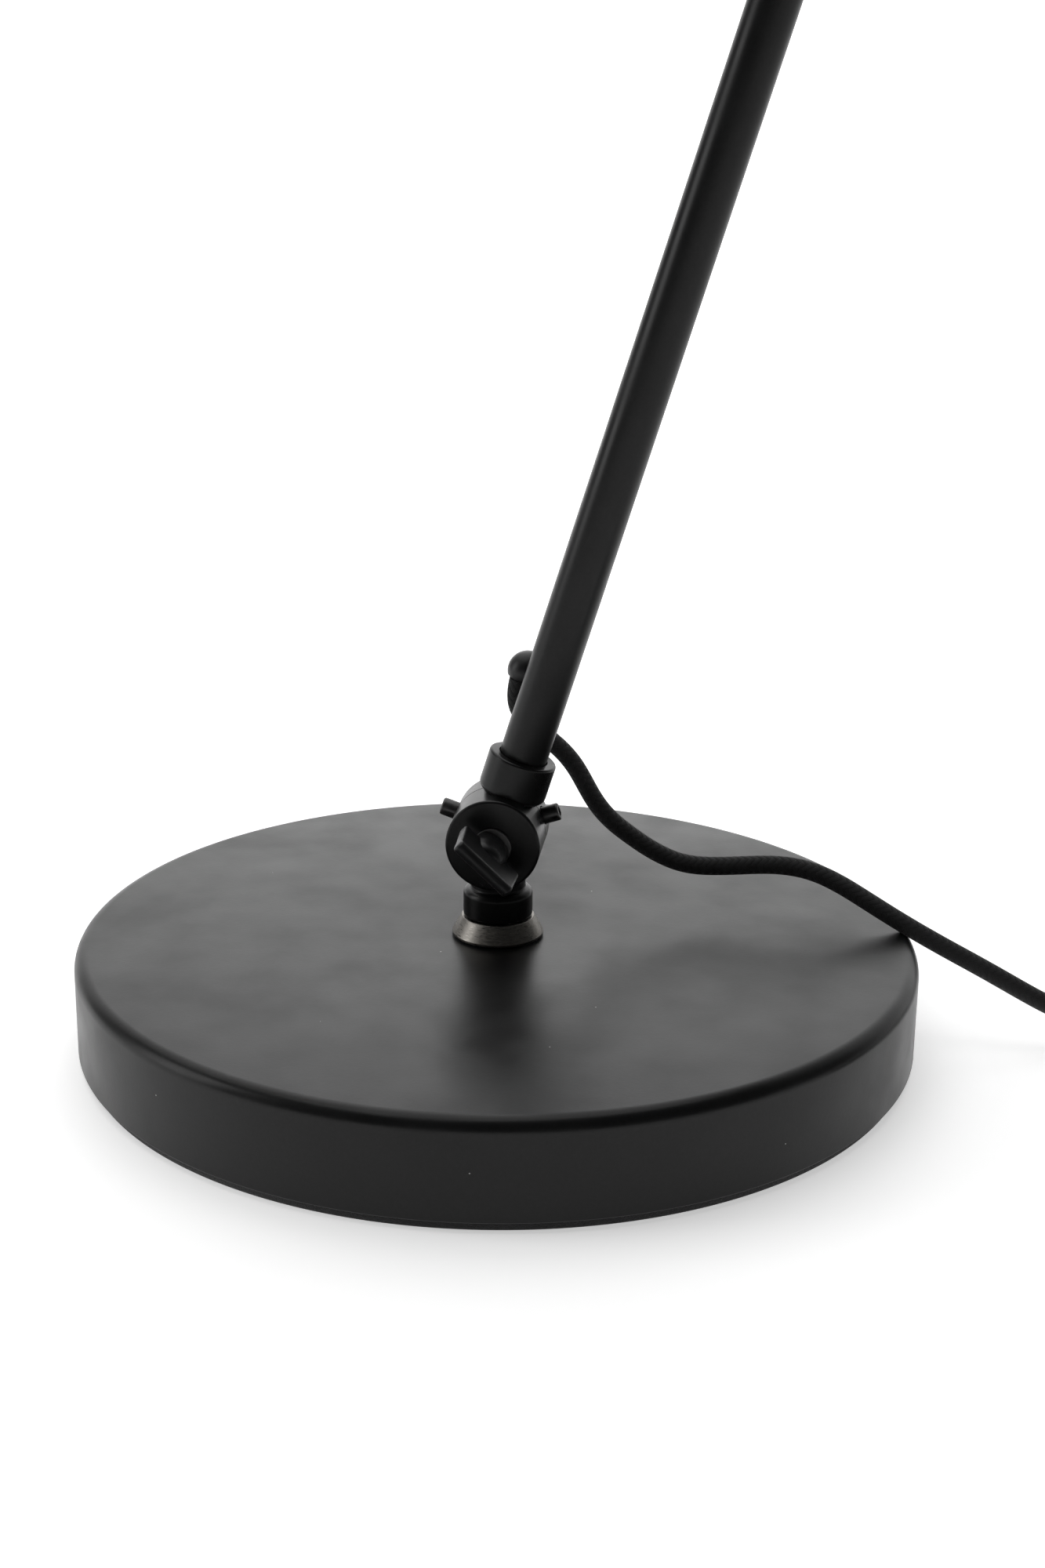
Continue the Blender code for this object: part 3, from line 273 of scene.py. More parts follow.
def between(material, amount, low, high, low_in=0.0, high_in=1.0):
    """Stretches an amount from one range to another."""
    ranges = {"Value": amount, "From Min": low_in, "From Max": high_in, "To Min": low, "To Max": high}
    return step(material, "ShaderNodeMapRange", ranges).outputs["Result"]


def maths(material, operation, first, second=0.0):
    """One sum or comparison of two values or outputs."""
    return step(material, "ShaderNodeMath", {0: first, 1: second}, operation=operation).outputs[0]


def relief(material, height, depth, strength=1.0):
    """Small relief of a depth in metres, on the shader's normal."""
    bump = step(material, "ShaderNodeBump", {"Height": height, "Distance": depth, "Strength": strength})
    onto(material, "Normal", bump.outputs["Normal"])


def eased(amount):
    """Rises from 0 to 1 with level ends: three squares less two cubes."""
    amount = np.clip(amount, 0.0, 1.0)
    return amount * amount * (3 - 2 * amount)


def coil_line():
    """The cord's middle round the coil. Each turn keeps its radius and layer, and near where a turn
    starts the line first climbs to the next layer, then moves over to the next radius."""
    turns = np.arange(1, len(COIL_RADII) * COIL_POINTS_A_TURN) / COIL_POINTS_A_TURN
    radius = np.full(len(turns), COIL_ENTRY_RADIUS)
    radius += (COIL_RADII[0] - COIL_ENTRY_RADIUS) * eased(turns / COIL_SHIFT)
    height = np.full(len(turns), COIL_HEIGHTS[0])
    for number in range(1, len(COIL_RADII)):
        moved = (turns - number) / COIL_SHIFT + 0.5
        height += (COIL_HEIGHTS[number] - COIL_HEIGHTS[number - 1]) * eased(2 * moved)
        radius += (COIL_RADII[number] - COIL_RADII[number - 1]) * eased(2 * moved - 1)
    last = (turns - len(COIL_RADII)) / COIL_SHIFT + 1
    radius += (COIL_ENTRY_RADIUS - COIL_RADII[-1]) * eased(last)
    angle = math.pi / 2 - 2 * math.pi * turns
    x = COIL_CENTRE[0] + radius * np.cos(angle)
    y = COIL_CENTRE[1] + radius * np.sin(angle)
    return np.stack([x, y, height], 1)


def smooth_line(knots, spacing):
    """A Catmull-Rom curve through the knots, with its first and last stretch straight, read at even
    steps of its own length and then relaxed."""
    knots = np.array([tuple(knot) for knot in knots])
    t = (np.arange(24) / 24)[None, :, None]
    a, b, c, d = (knots[first : len(knots) - 3 + first, None, :] for first in range(4))
    curve = 2 * b + (c - a) * t + (2 * a - 5 * b + 4 * c - d) * t**2 + (3 * b - a - 3 * c + d) * t**3
    line = evenly_spaced(np.concatenate([knots[:1], curve.reshape(-1, 3) / 2, knots[-2:]]), spacing)
    return relaxed(line, round(CORD_RELAX / spacing))


def relaxed(line, reach):
    """Each point moves to the bell-weighted mean of its neighbours, so that bends even out as a stiff
    cord's do. Past an end, the neighbours are the line turned half round about it, which leaves the end
    where it is."""
    offset = np.arange(-3 * reach, 3 * reach + 1)
    bell = np.exp(-0.5 * (offset / reach) ** 2)
    longer = np.pad(line, ((3 * reach, 3 * reach), (0, 0)), mode="reflect", reflect_type="odd")
    return np.stack([np.convolve(longer[:, k], bell / bell.sum(), mode="valid") for k in range(3)], 1)


def evenly_spaced(line, spacing):
    """The points of a line again, at even steps of its length."""
    walked = np.concatenate([[0.0], np.cumsum(np.linalg.norm(np.diff(line, axis=0), axis=1))])
    places = np.linspace(0.0, walked[-1], max(2, round(walked[-1] / spacing) + 1))
    return np.stack([np.interp(places, walked, line[:, k]) for k in range(3)], 1)


def carried_frames(line):
    """Two directions square to a line at each point, carried along it without twisting: at each step
    the last direction loses its part along the new heading."""
    heading = np.gradient(line, axis=0)
    heading /= np.linalg.norm(heading, axis=1)[:, None]
    side = np.empty_like(line)
    first = np.cross(heading[0], (0.0, 1.0, 0.3))
    for number, ahead in enumerate(heading):
        first = first - ahead * (first @ ahead)
        first = first / np.linalg.norm(first)
        side[number] = first
    return side, np.cross(heading, side)


def tube_along(name, line, radius, sides):
    """A round tube: each point of the line carries a circle square to it, and both ends close to a
    point. The pattern runs once round, and along the tube at the same scale."""
    line, radius = np.asarray(line, float), np.broadcast_to(radius, len(line)).astype(float)
    side, other = carried_frames(line)
    line = np.concatenate([line[:1], line, line[-1:]])
    side, other = (np.concatenate([part[:1], part, part[-1:]]) for part in (side, other))
    widths = np.concatenate([[0.0], radius, [0.0]])[:, None, None]
    angle = (2 * math.pi * np.arange(sides) / sides)[None, :, None]
    points = line[:, None] + widths * (np.cos(angle) * side[:, None] + np.sin(angle) * other[:, None])
    walked = np.concatenate([[0.0], np.cumsum(np.linalg.norm(np.diff(line, axis=0), axis=1))])
    round_once = 2 * math.pi * float(radius.max())
    return joined_grid(name, points, np.arange(sides + 1) / sides, walked / round_once)


def braided(name, strands=8, dark=(0.0025, 0.0025, 0.0027), light=(0.016, 0.016, 0.0165)):
    """A braid of flat bundles, as many each way: two sets of slanting stripes, and each bundle passes
    over two of the other set and under two. Fine yarns run along each bundle, with loose fibres over
    them."""
    material = finish(name, dark, 0.85, Sheen_Weight=0.12, Sheen_Roughness=0.4)
    pattern = step(material, "ShaderNodeUVMap", {}, uv_map="pattern").outputs[0]
    parts = step(material, "ShaderNodeSeparateXYZ", {0: pattern})
    across, along = parts.outputs[0], parts.outputs[1]
    one_way = maths(material, "MULTIPLY", maths(material, "ADD", across, along), strands)
    other_way = maths(material, "MULTIPLY", maths(material, "SUBTRACT", across, along), strands)
    crossing = maths(material, "ADD", maths(material, "FLOOR", one_way), maths(material, "FLOOR", other_way))
    over = maths(material, "LESS_THAN", maths(material, "FLOORED_MODULO", crossing, 4.0), 2.0)
    crowns = []
    for way in (one_way, other_way):
        within = maths(material, "FLOORED_MODULO", way, 1.0)
        half_wave = maths(material, "SINE", maths(material, "MULTIPLY", within, math.pi))
        crown = maths(material, "POWER", half_wave, 0.5)
        yarn_waves = maths(material, "SINE", maths(material, "MULTIPLY", within, 4 * math.pi))
        yarn = maths(material, "ABSOLUTE", yarn_waves)
        crowns.append(maths(material, "ADD", crown, maths(material, "MULTIPLY", yarn, 0.25)))
    layers = {"Factor": over, 2: crowns[1], 3: crowns[0]}
    mixed = step(material, "ShaderNodeMix", layers, data_type="FLOAT")
    fibres = grain(material, 0.00012, 3.0)
    height = maths(material, "ADD", mixed.outputs[0], maths(material, "MULTIPLY", fibres, 0.6))
    # The colour follows the braid's height: painted shade in the low parts between bundles and between
    # yarns, and a painted highlight on the crowns. The loose fibres add a random tone of their own.
    onto(material, "Base Color", tint(material, between(material, height, 0.0, 1.0, 0.5, 1.8), dark, light))
    onto(material, "Roughness", between(material, fibres, 0.75, 0.95))
    relief(material, height, 0.00022, 0.9)
    return material


braid = braided("black_braid")
exit_point, outward = Vector(CORD_EXIT), Vector(CORD_OUTWARD)
cord_start = [exit_point, exit_point + outward * CORD_STRAIGHT]
whole_route = [*cord_start, *LEAD_ROUTE, *coil_line(), *TAIL_ROUTE]
whole_line = smooth_line(whole_route, CORD_RING_SPACING)
free_cord = closed_and_smooth(tube_along("free_cord", whole_line, CORD_RADIUS, CORD_SIDES))
free_cord.data.materials.append(braid)
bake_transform(free_cord)
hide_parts("cord_lead", "cord_coil", "cord_tail")

# Tie and plug: a plastic band holds the coil, and the cord ends in a moulded flat two-pin plug with a
# ribbed sleeve.
COIL_MIDDLE_RADIUS, COIL_MIDDLE_HEIGHT = 0.028, 0.0093
TIE_HALF_WIDTH, TIE_HALF_HEIGHT, TIE_BAND, TIE_THICK = 0.0093, 0.0086, 0.0070, 0.0008
TIE_ANGLE = math.radians(-150.0)
PLUG_TIP = Vector((0.187, 0.055, 0.0072))
PLUG_LENGTH, PLUG_THICK = 0.036, 0.0136
PIN_RADIUS, PIN_LENGTH, PIN_SPACING = 0.0020, 0.0190, 0.0186
SLEEVE_LENGTH, SLEEVE_WIDE, SLEEVE_NARROW = 0.022, 0.0058, 0.0036
SLEEVE_GROOVES, GROOVE_DEPTH = 6, 0.00055
GAP = 0.0003
ALONG_X = Matrix.Rotation(math.pi / 2, 4, "Y")


def dressed(piece, material, body, slot, *nodes):
    """Gives a piece its finish and the body that it moves with, and hides the CAD nodes it stands for. The
    slot is not used.
    """
    piece.data.materials.clear()
    piece.data.materials.append(material)
    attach(piece, body)
    if nodes:
        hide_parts(*nodes)
    return piece


def rounded(corners, ring=False, steps=6):
    """An outline through corners (radius, height, rounding). A rounded corner is cut back along both
    sides by its rounding over the tangent of half its angle, and an arc about the point between them
    joins the cuts."""
    points = []
    for number, (radius, height, rounding) in enumerate(corners):
        here = np.array((radius, height))
        if rounding == 0 or (not ring and number in (0, len(corners) - 1)):
            points.append(here)
            continue
        before = np.array(corners[number - 1][:2]) - here
        after = np.array(corners[(number + 1) % len(corners)][:2]) - here
        before, after = before / np.linalg.norm(before), after / np.linalg.norm(after)
        half = math.acos(np.clip(before @ after, -1.0, 1.0)) / 2
        middle = (before + after) / np.linalg.norm(before + after)
        centre = here + middle * rounding / math.sin(half)
        first = here + before * rounding / math.tan(half) - centre
        last = here + after * rounding / math.tan(half) - centre
        sweep = math.pi - 2 * half
        t = np.linspace(0.0, 1.0, steps + 1)[:, None]
        arc = (np.sin((1 - t) * sweep) * first + np.sin(t * sweep) * last) / math.sin(sweep)
        points.extend(centre + arc)
    return np.array(points)


def set_at(points, place):
    """A grid of points moved from a piece's own frame into its place."""
    place = np.array(place)
    return points @ place[:3, :3].T + place[:3, 3]


def spun_points(outline, steps):
    """A surface of revolution: each outline point (radius, height) goes once round Z."""
    angle = 2 * math.pi * np.arange(steps) / steps
    radius, height = outline[:, 0, None], outline[:, 1, None]
    return np.stack([radius * np.cos(angle), radius * np.sin(angle), height + 0 * angle], -1)


def spun(name, corners, place=Matrix(), steps=96, ring=False, arc_steps=6):
    """A piece turned on a lathe from an outline of rounded corners."""
    points = set_at(spun_points(rounded(corners, ring, arc_steps), steps), place)
    return closed_and_smooth(joined_grid(name, points, round_rows=ring))


def moulded_plastic(name, colour, roughness):
    """Plastic from a spark-eroded mould: fine even grain, with slow change in its gloss from handling."""
    material = finish(name, colour, roughness, Specular_IOR_Level=0.32)
    fine = grain(material, 0.00035, 5.0)
    handling = grain(material, 0.006, 3.0)
    gloss = between(material, handling, roughness - 0.06, roughness + 0.08, 0.3, 0.7)
    onto(material, "Roughness", gloss)
    worn = tuple(c * 1.4 + 0.0005 for c in colour)
    onto(material, "Base Color", tint(material, handling, colour, worn))
    relief(material, fine, 0.00004, 0.6)
    return material


plastic = moulded_plastic("black_moulding", (0.0060, 0.0060, 0.0065), 0.38)

tie_corners = [
    (-TIE_HALF_WIDTH, -TIE_HALF_HEIGHT, 0.003),
    (TIE_HALF_WIDTH, -TIE_HALF_HEIGHT, 0.003),
    (TIE_HALF_WIDTH, TIE_HALF_HEIGHT, 0.003),
    (-TIE_HALF_WIDTH, TIE_HALF_HEIGHT, 0.003),
]
tie_path = rounded(tie_corners, ring=True, steps=8)
tie_outward = tie_path / np.linalg.norm(tie_path, axis=1)[:, None]
band_corners = [
    (0.0, -TIE_BAND / 2, 0.0002),
    (TIE_THICK, -TIE_BAND / 2, 0.0003),
    (TIE_THICK, TIE_BAND / 2, 0.0003),
    (0.0, TIE_BAND / 2, 0.0002),
]
band = rounded(band_corners, ring=True, steps=3)
tie_flat = tie_path[:, None] + tie_outward[:, None] * band[None, :, :1]
tie_across = np.broadcast_to(band[None, :, 1:], (*tie_flat.shape[:2], 1))
tie_grid = np.concatenate([tie_flat, tie_across], -1)
tie_place = (
    Matrix.Translation((*COIL_CENTRE, COIL_MIDDLE_HEIGHT))
    @ Matrix.Rotation(TIE_ANGLE, 4, "Z")
    @ Matrix.Translation((COIL_MIDDLE_RADIUS, 0, 0))
    @ Matrix.Rotation(math.pi / 2, 4, "X")
)
tie = closed_and_smooth(joined_grid("coil_tie", set_at(tie_grid, tie_place), round_rows=True))
dressed(tie, plastic, "swivel", "black_plastic", "cord_tie")

PLUG_SECTIONS = [
    (0.0000, 0.0152, 0.0054),
    (0.0004, 0.0162, 0.0061),
    (0.0015, 0.0170, 0.0066),
    (0.0040, 0.0172, 0.0068),
    (0.0100, 0.0171, 0.0068),
    (0.0180, 0.0144, 0.0068),
    (0.0240, 0.0114, 0.0067),
    (0.0280, 0.0096, 0.0065),
    (0.0320, 0.0080, 0.0062),
    (0.0346, 0.0070, 0.0059),
    (0.0356, 0.0064, 0.0054),
    (PLUG_LENGTH, 0.0056, 0.0048),
]
plug_stations, plug_half_widths, plug_half_heights = np.array(PLUG_SECTIONS).T
plug_x = np.sort(np.concatenate([np.linspace(0.0, PLUG_LENGTH, 60), plug_stations]))
half_width = np.interp(plug_x, plug_stations, plug_half_widths)
half_height = np.interp(plug_x, plug_stations, plug_half_heights)
around = 2 * math.pi * np.arange(64) / 64
square_cos = np.sign(np.cos(around)) * np.abs(np.cos(around)) ** 0.5
square_sin = np.sign(np.sin(around)) * np.abs(np.sin(around)) ** 0.5
plug_y, plug_z = half_width[:, None] * square_cos, half_height[:, None] * square_sin
plug_grid = np.stack([plug_x[:, None] + 0 * around, plug_y, plug_z], -1)
plug_ends = (plug_grid[:1] * (1, 0, 0), plug_grid, plug_grid[-1:] * (1, 0, 0))
plug_points = np.concatenate(plug_ends) + np.array(PLUG_TIP)
plug = closed_and_smooth(joined_grid("plug_moulding", plug_points))
dressed(plug, plastic, "swivel", "black_plastic", "plug_body")

nickel = finish("nickel_plating", (0.72, 0.70, 0.66), 0.22, 1.0)
onto(nickel, "Roughness", between(nickel, grain(nickel, 0.002), 0.16, 0.32, 0.3, 0.7))
relief(nickel, grain(nickel, 0.0006), 0.00001, 0.5)
for side, node in ((-1, "plug_pin_left"), (1, "plug_pin_right")):
    pin_place = Matrix.Translation(PLUG_TIP + Vector((0, side * PIN_SPACING / 2, 0))) @ ALONG_X
    pin_corners = [
        (0, -GAP, 0),
        (PIN_RADIUS, -GAP, 0.0001),
        (PIN_RADIUS, -PIN_LENGTH, 0.0012),
        (0, -PIN_LENGTH, 0),
    ]
    pin = spun(node + "_turned", pin_corners, pin_place, 32)
    dressed(pin, nickel, "swivel", "nickel_plate", node)

sleeve_x = np.linspace(PLUG_LENGTH + GAP, PLUG_LENGTH + GAP + SLEEVE_LENGTH, 90)
along_sleeve = (sleeve_x - sleeve_x[0]) / SLEEVE_LENGTH
sleeve_radius = SLEEVE_WIDE + (SLEEVE_NARROW - SLEEVE_WIDE) * along_sleeve
grooved = np.sin(along_sleeve * SLEEVE_GROOVES * 2 * math.pi) > 0.35
grooved = grooved * (along_sleeve > 0.08) * (along_sleeve < 0.95)
sleeve_radius = np.concatenate([[0.0], sleeve_radius - GROOVE_DEPTH * grooved, [0.0]])
sleeve_x = np.concatenate([sleeve_x[:1], sleeve_x, sleeve_x[-1:]])
sleeve_points = spun_points(np.stack([sleeve_radius, sleeve_x], 1), 40)
sleeve_points = set_at(sleeve_points, Matrix.Translation(PLUG_TIP) @ ALONG_X)
sleeve = joined_grid("plug_strain_sleeve", sleeve_points)
dressed(closed_and_smooth(sleeve), plastic, "swivel", "black_plastic", "plug_sleeve")

# Base: a spun steel cover, powder coated satin black, over a cast iron disc. A pressed board with
# black felt closes it below, and a washer and nut hold the swivel seat's stem from inside.
BASE_RADIUS, BASE_TOP, BASE_EDGE, COVER_WALL = 0.115, 0.02915, 0.0039, 0.0015
FELT_RADIUS, FELT_THICK = 0.1133, 0.0024
COVER_BORE = 0.0063
DUST_SPACING, DUST_REACH, DUST_COLOUR = 0.0045, 0.045, (0.30, 0.30, 0.29, 1.0)


def powder_coat(name, colour, roughness, peel=0.00002, dust=0.0):
    """Powder coat on steel: shallow orange peel a millimetre across, gloss that drifts a little, and a
    few specks of pale dust where single cells of a cell pattern fall under a small threshold."""
    material = finish(name, colour, roughness, Specular_IOR_Level=0.24)
    where = place_in(material)
    drift = grain(material, 0.018, 3.0, where)
    fine = grain(material, 0.0009, 3.0, where)
    gloss = between(material, drift, roughness - 0.05, roughness + 0.06, 0.3, 0.7)
    onto(material, "Roughness", gloss)
    pale = tuple(c * 1.3 for c in colour)
    body_colour = tint(material, between(material, fine, 0.0, 1.0, 0.35, 0.7), colour, pale)
    if dust:
        spread = {"Vector": where, "Scale": 1 / DUST_SPACING, "Randomness": 1.0}
        cells = step(material, "ShaderNodeTexVoronoi", spread)
        chance = step(material, "ShaderNodeSeparateColor", {0: cells.outputs["Color"]}).outputs[0]
        near = maths(material, "LESS_THAN", cells.outputs["Distance"], DUST_REACH)
        speck = maths(material, "MULTIPLY", near, maths(material, "LESS_THAN", chance, dust))
        specks = {"Factor": speck, 6: body_colour, 7: DUST_COLOUR}
        body_colour = step(material, "ShaderNodeMix", specks, data_type="RGBA").outputs[2]
    onto(material, "Base Color", body_colour)
    relief(material, fine, peel, 0.6)
    return material


base_paint = powder_coat("satin_base_paint", (0.0055, 0.0055, 0.0057), 0.33, dust=0.03)
inner_wall = BASE_RADIUS - COVER_WALL
rim_height = FELT_THICK + GAP
cover_corners = [
    (COVER_BORE, BASE_TOP, 0.0002),
    (BASE_RADIUS, BASE_TOP, BASE_EDGE),
    (BASE_RADIUS, rim_height, 0.0004),
    (inner_wall, rim_height, 0.0003),
    (inner_wall, BASE_TOP - COVER_WALL, BASE_EDGE - COVER_WALL),
    (COVER_BORE, BASE_TOP - COVER_WALL, 0.0),
]
cover = spun("spun_base_cover", cover_corners, steps=320, ring=True, arc_steps=12)
dressed(cover, base_paint, "base", "satin_black_paint", "base_cover")

felt_finish = finish("wool_felt", (0.008, 0.008, 0.008), 0.95, Sheen_Weight=0.3, Sheen_Roughness=0.5)
felt_fibres = grain(felt_finish, 0.0004, 8.0, roughness=0.7)
felt_colour = tint(felt_finish, felt_fibres, (0.004, 0.004, 0.004), (0.022, 0.022, 0.023))
onto(felt_finish, "Base Color", felt_colour)
relief(felt_finish, felt_fibres, 0.0003, 1.0)
felt_corners = [
    (0, FELT_THICK, 0),
    (FELT_RADIUS, FELT_THICK, 0.0003),
    (FELT_RADIUS, 0.0, 0.0006),
    (0, 0.0, 0),
]
felt = spun("felt_pad", felt_corners, steps=240)
dressed(felt, felt_finish, "base", "black_felt", "base_felt")

iron = finish("rough_iron", (0.10, 0.10, 0.10), 0.75, 0.8)
sand = grain(iron, 0.0012, 6.0)
onto(iron, "Base Color", tint(iron, sand, (0.05, 0.045, 0.042), (0.16, 0.155, 0.15)))
relief(iron, sand, 0.0002, 0.8)
board = finish("pressed_board", (0.24, 0.21, 0.17), 0.9)
pulp = grain(board, 0.0016, 7.0)
onto(board, "Base Color", tint(board, pulp, (0.17, 0.15, 0.12), (0.31, 0.28, 0.23)))
relief(board, pulp, 0.0001, 0.6)
oxide = finish("black_oxide", (0.07, 0.07, 0.072), 0.38, 0.9)
oil = grain(oxide, 0.0015, 5.0)
onto(oxide, "Roughness", between(oxide, oil, 0.28, 0.50, 0.3, 0.7))
onto(oxide, "Base Color", tint(oxide, oil, (0.05, 0.05, 0.052), (0.10, 0.098, 0.095)))
relief(oxide, grain(oxide, 0.0003), 0.00001, 0.5)


def refinished(node, material):
    """A CAD node keeps its shape and gets a real finish."""
    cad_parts[node].data.materials.clear()
    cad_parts[node].data.materials.append(material)


refinished("base_weight", iron)
refinished("base_board", board)
refinished("base_washer", oxide)
refinished("base_nut", oxide)
refinished("swivel_bolt", oxide)

# Swivel seat: a turned steel cone, blackened and brushed round its own axis, that the lowest collar
# stands on. Its stem goes down through the cover to the nut, and a bolt runs through its bore.
SEAT_LOW, SEAT_TOP = BASE_TOP + 0.0005, BASE_TOP + 0.0057
SEAT_NECK, SEAT_FOOT = 0.0099, 0.0125
STEM_RADIUS, BOLT_BORE = 0.0060, 0.0033

brushed = finish("brushed_black_steel", (0.20, 0.19, 0.175), 0.34, 1.0, Anisotropic=0.4)
x, y, z = step(brushed, "ShaderNodeSeparateXYZ", {0: place_in(brushed)}).outputs
squares = (maths(brushed, "MULTIPLY", part, part) for part in (x, y))
from_axis = maths(brushed, "SQRT", maths(brushed, "ADD", *squares))
bearing = maths(brushed, "MULTIPLY", maths(brushed, "ARCTAN2", y, x), 0.0012)
brush_terms = {0: from_axis, 1: bearing, 2: z}
brush_place = step(brushed, "ShaderNodeCombineXYZ", brush_terms).outputs[0]
scratches = grain(brushed, 0.00016, 3.0, brush_place)
onto(brushed, "Roughness", between(brushed, scratches, 0.22, 0.52, 0.3, 0.7))
brush_colour = tint(brushed, scratches, (0.10, 0.095, 0.088), (0.36, 0.34, 0.31))
onto(brushed, "Base Color", brush_colour)
relief(brushed, scratches, 0.00003, 0.8)
stem_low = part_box("swivel_seat")[0][2]
seat_corners = [
    (SEAT_NECK, SEAT_TOP, 0.0003),
    (SEAT_FOOT, SEAT_LOW + 0.0006, 0.0003),
    (SEAT_FOOT, SEAT_LOW, 0.0001),
    (STEM_RADIUS, SEAT_LOW, 0.0),
    (STEM_RADIUS, stem_low, 0.0003),
    (BOLT_BORE, stem_low, 0.0),
    (BOLT_BORE, SEAT_TOP, 0.0002),
]
seat = spun("turned_swivel_seat", seat_corners, steps=160, ring=True)
dressed(seat, brushed, "base", "blackened_brushed_steel", "swivel_seat")

# Knuckles: two cast halves face to face on one bolt, painted, each with a collar for its tube. The
# disc is spun about the hinge's axis and joined to the collar, then cut for its partner, the bolt and
# the tube. Two set screws stop the lower one, and a wing knob tightens each.
HINGE_HEIGHT = 0.05896
LOWER_LENGTH, UPPER_LENGTH = 0.380, 0.340
TILTS = (16.85, -70.0, -160.0)
LOWER_TILT, UPPER_TILT, HEAD_TILT = (math.radians(angle) for angle in TILTS)
DISC_RADIUS, FRONT_THICK, REAR_THICK, SEAM = 0.01275, 0.0130, 0.0100, 0.0004
NECK_RADIUS, SOCKET_DEPTH = 0.0075, 0.0085
ARM_COLLAR = (0.00925, 0.0113, 0.0226)
BASE_COLLAR = (0.0095, 0.0160, HINGE_HEIGHT - SEAT_TOP - GAP)
COLLAR_ROOT, PARTNER_CLEAR, CUT_REACH, CAST_EDGE = 0.002, 0.0005, 0.018, 0.0003
BOLT_RADIUS, BOLT_HEAD_RADIUS, BOLT_HEAD_THICK = 0.0025, 0.0045, 0.0024
BOLT_IN_KNOB, BOLT_KEY_RADIUS, BOLT_KEY_DEPTH = 0.0045, 0.0017, 0.0014
WASHER_RADIUS, WASHER_THICK = 0.0052, 0.0008
TUBE_RADIUS = 0.0065
FACING_FRONT = Matrix.Rotation(math.pi / 2, 4, "X")
FACING_REAR = Matrix.Rotation(-math.pi / 2, 4, "X")


def leaning(position, tilt):
    """A frame at a hinge whose Z points along a piece that leans by tilt towards +X."""
    return Matrix.Translation(position) @ Matrix.Rotation(tilt, 4, "Y")


lower_hinge = Vector((0.0, 0.0, HINGE_HEIGHT))
lower_place = leaning(lower_hinge, LOWER_TILT)
elbow_hinge = lower_place @ Vector((0, 0, LOWER_LENGTH))
upper_place = leaning(elbow_hinge, UPPER_TILT)
head_hinge = upper_place @ Vector((0, 0, UPPER_LENGTH))
head_place = leaning(head_hinge, HEAD_TILT)


def baked(piece):
    """Makes what the piece's modifiers give into its own mesh."""
    shown = piece.evaluated_get(bpy.context.evaluated_depsgraph_get())
    made = bpy.data.meshes.new_from_object(shown)
    piece.modifiers.clear()
    piece.data = made


def fitted_to(piece, tool, operation="DIFFERENCE"):
    """Cuts a tool away from a piece, or joins it, and keeps the result as the piece's own mesh."""
    modifier = piece.modifiers.new("fit", "BOOLEAN")
    modifier.operation = operation
    modifier.solver = "EXACT"
    modifier.object = tool
    baked(piece)
    bpy.data.objects.remove(tool)
    return piece


def softened(piece, width):
    """Rounds the hard edges left by a cut or a join, as casting does, and shades the flats as flats."""
    closed_and_smooth(piece)
    bevel = piece.modifiers.new("cast_edges", "BEVEL")
    bevel.width = width
    bevel.segments = 3
    bevel.limit_method = "ANGLE"
    bevel.angle_limit = math.radians(35)
    bevel.use_clamp_overlap = True
    flats = piece.modifiers.new("flats", "WEIGHTED_NORMAL")
    flats.keep_sharp = False
    baked(piece)
    return piece


def rod(radius, low, high, place, steps=64):
    """A plain rod along a place's Z, to cut with. With six sides it cuts a key socket."""
    corners = [(0, high, 0), (radius, high, 0), (radius, low, 0), (0, low, 0)]
    return spun("cutting_rod", corners, place, steps)


def knuckle_half(name, place, front, collar, socket):
    """Half a knuckle: its disc is spun about the hinge's axis and its collar about the tube's."""
    if front:
        facing, other, thick = FACING_FRONT, FACING_REAR, FRONT_THICK
    else:
        facing, other, thick = FACING_REAR, FACING_FRONT, REAR_THICK
    radius, near, far = collar
    disc_corners = [(0, thick, 0), (DISC_RADIUS, thick, 0.0008), (DISC_RADIUS, 0, 0.0002), (0, 0, 0)]
    collar_corners = [
        (0, far, 0),
        (radius, far, 0.0007),
        (radius, near, 0.0018),
        (NECK_RADIUS, near, 0.0006),
        (NECK_RADIUS, COLLAR_ROOT, 0),
        (0, COLLAR_ROOT, 0),
    ]
    half = spun(name, disc_corners, place @ facing)
    fitted_to(half, spun("cutting_collar", collar_corners, place, 80), "UNION")
    fitted_to(half, rod(DISC_RADIUS + PARTNER_CLEAR, -SEAM / 2, CUT_REACH, place @ other, 96))
    fitted_to(half, rod(BOLT_RADIUS + GAP, -CUT_REACH, CUT_REACH, place @ facing, 40))
    fitted_to(half, rod(socket + GAP, far - SOCKET_DEPTH, far + radius, place, 64))
    return half


def pivot_bolt(name, place):
    """A low round head behind the rear half and a plain shank as far as the knob."""
    head, tip = REAR_THICK + GAP, -FRONT_THICK - WASHER_THICK - BOLT_IN_KNOB
    corners = [
        (0, head + BOLT_HEAD_THICK, 0),
        (BOLT_HEAD_RADIUS, head + BOLT_HEAD_THICK, 0.0010),
        (BOLT_HEAD_RADIUS, head, 0.0002),
        (BOLT_RADIUS, head, 0),
        (BOLT_RADIUS, tip, 0.0004),
        (0, tip, 0),
    ]
    bolt = spun(name, corners, place @ FACING_REAR, 48)
    key_floor = head + BOLT_HEAD_THICK - BOLT_KEY_DEPTH
    key_seat = place @ FACING_REAR @ Matrix.Translation((0, 0, key_floor))
    fitted_to(bolt, rod(BOLT_KEY_RADIUS, 0, 0.004, key_seat, 6))
    return closed_and_smooth(bolt)


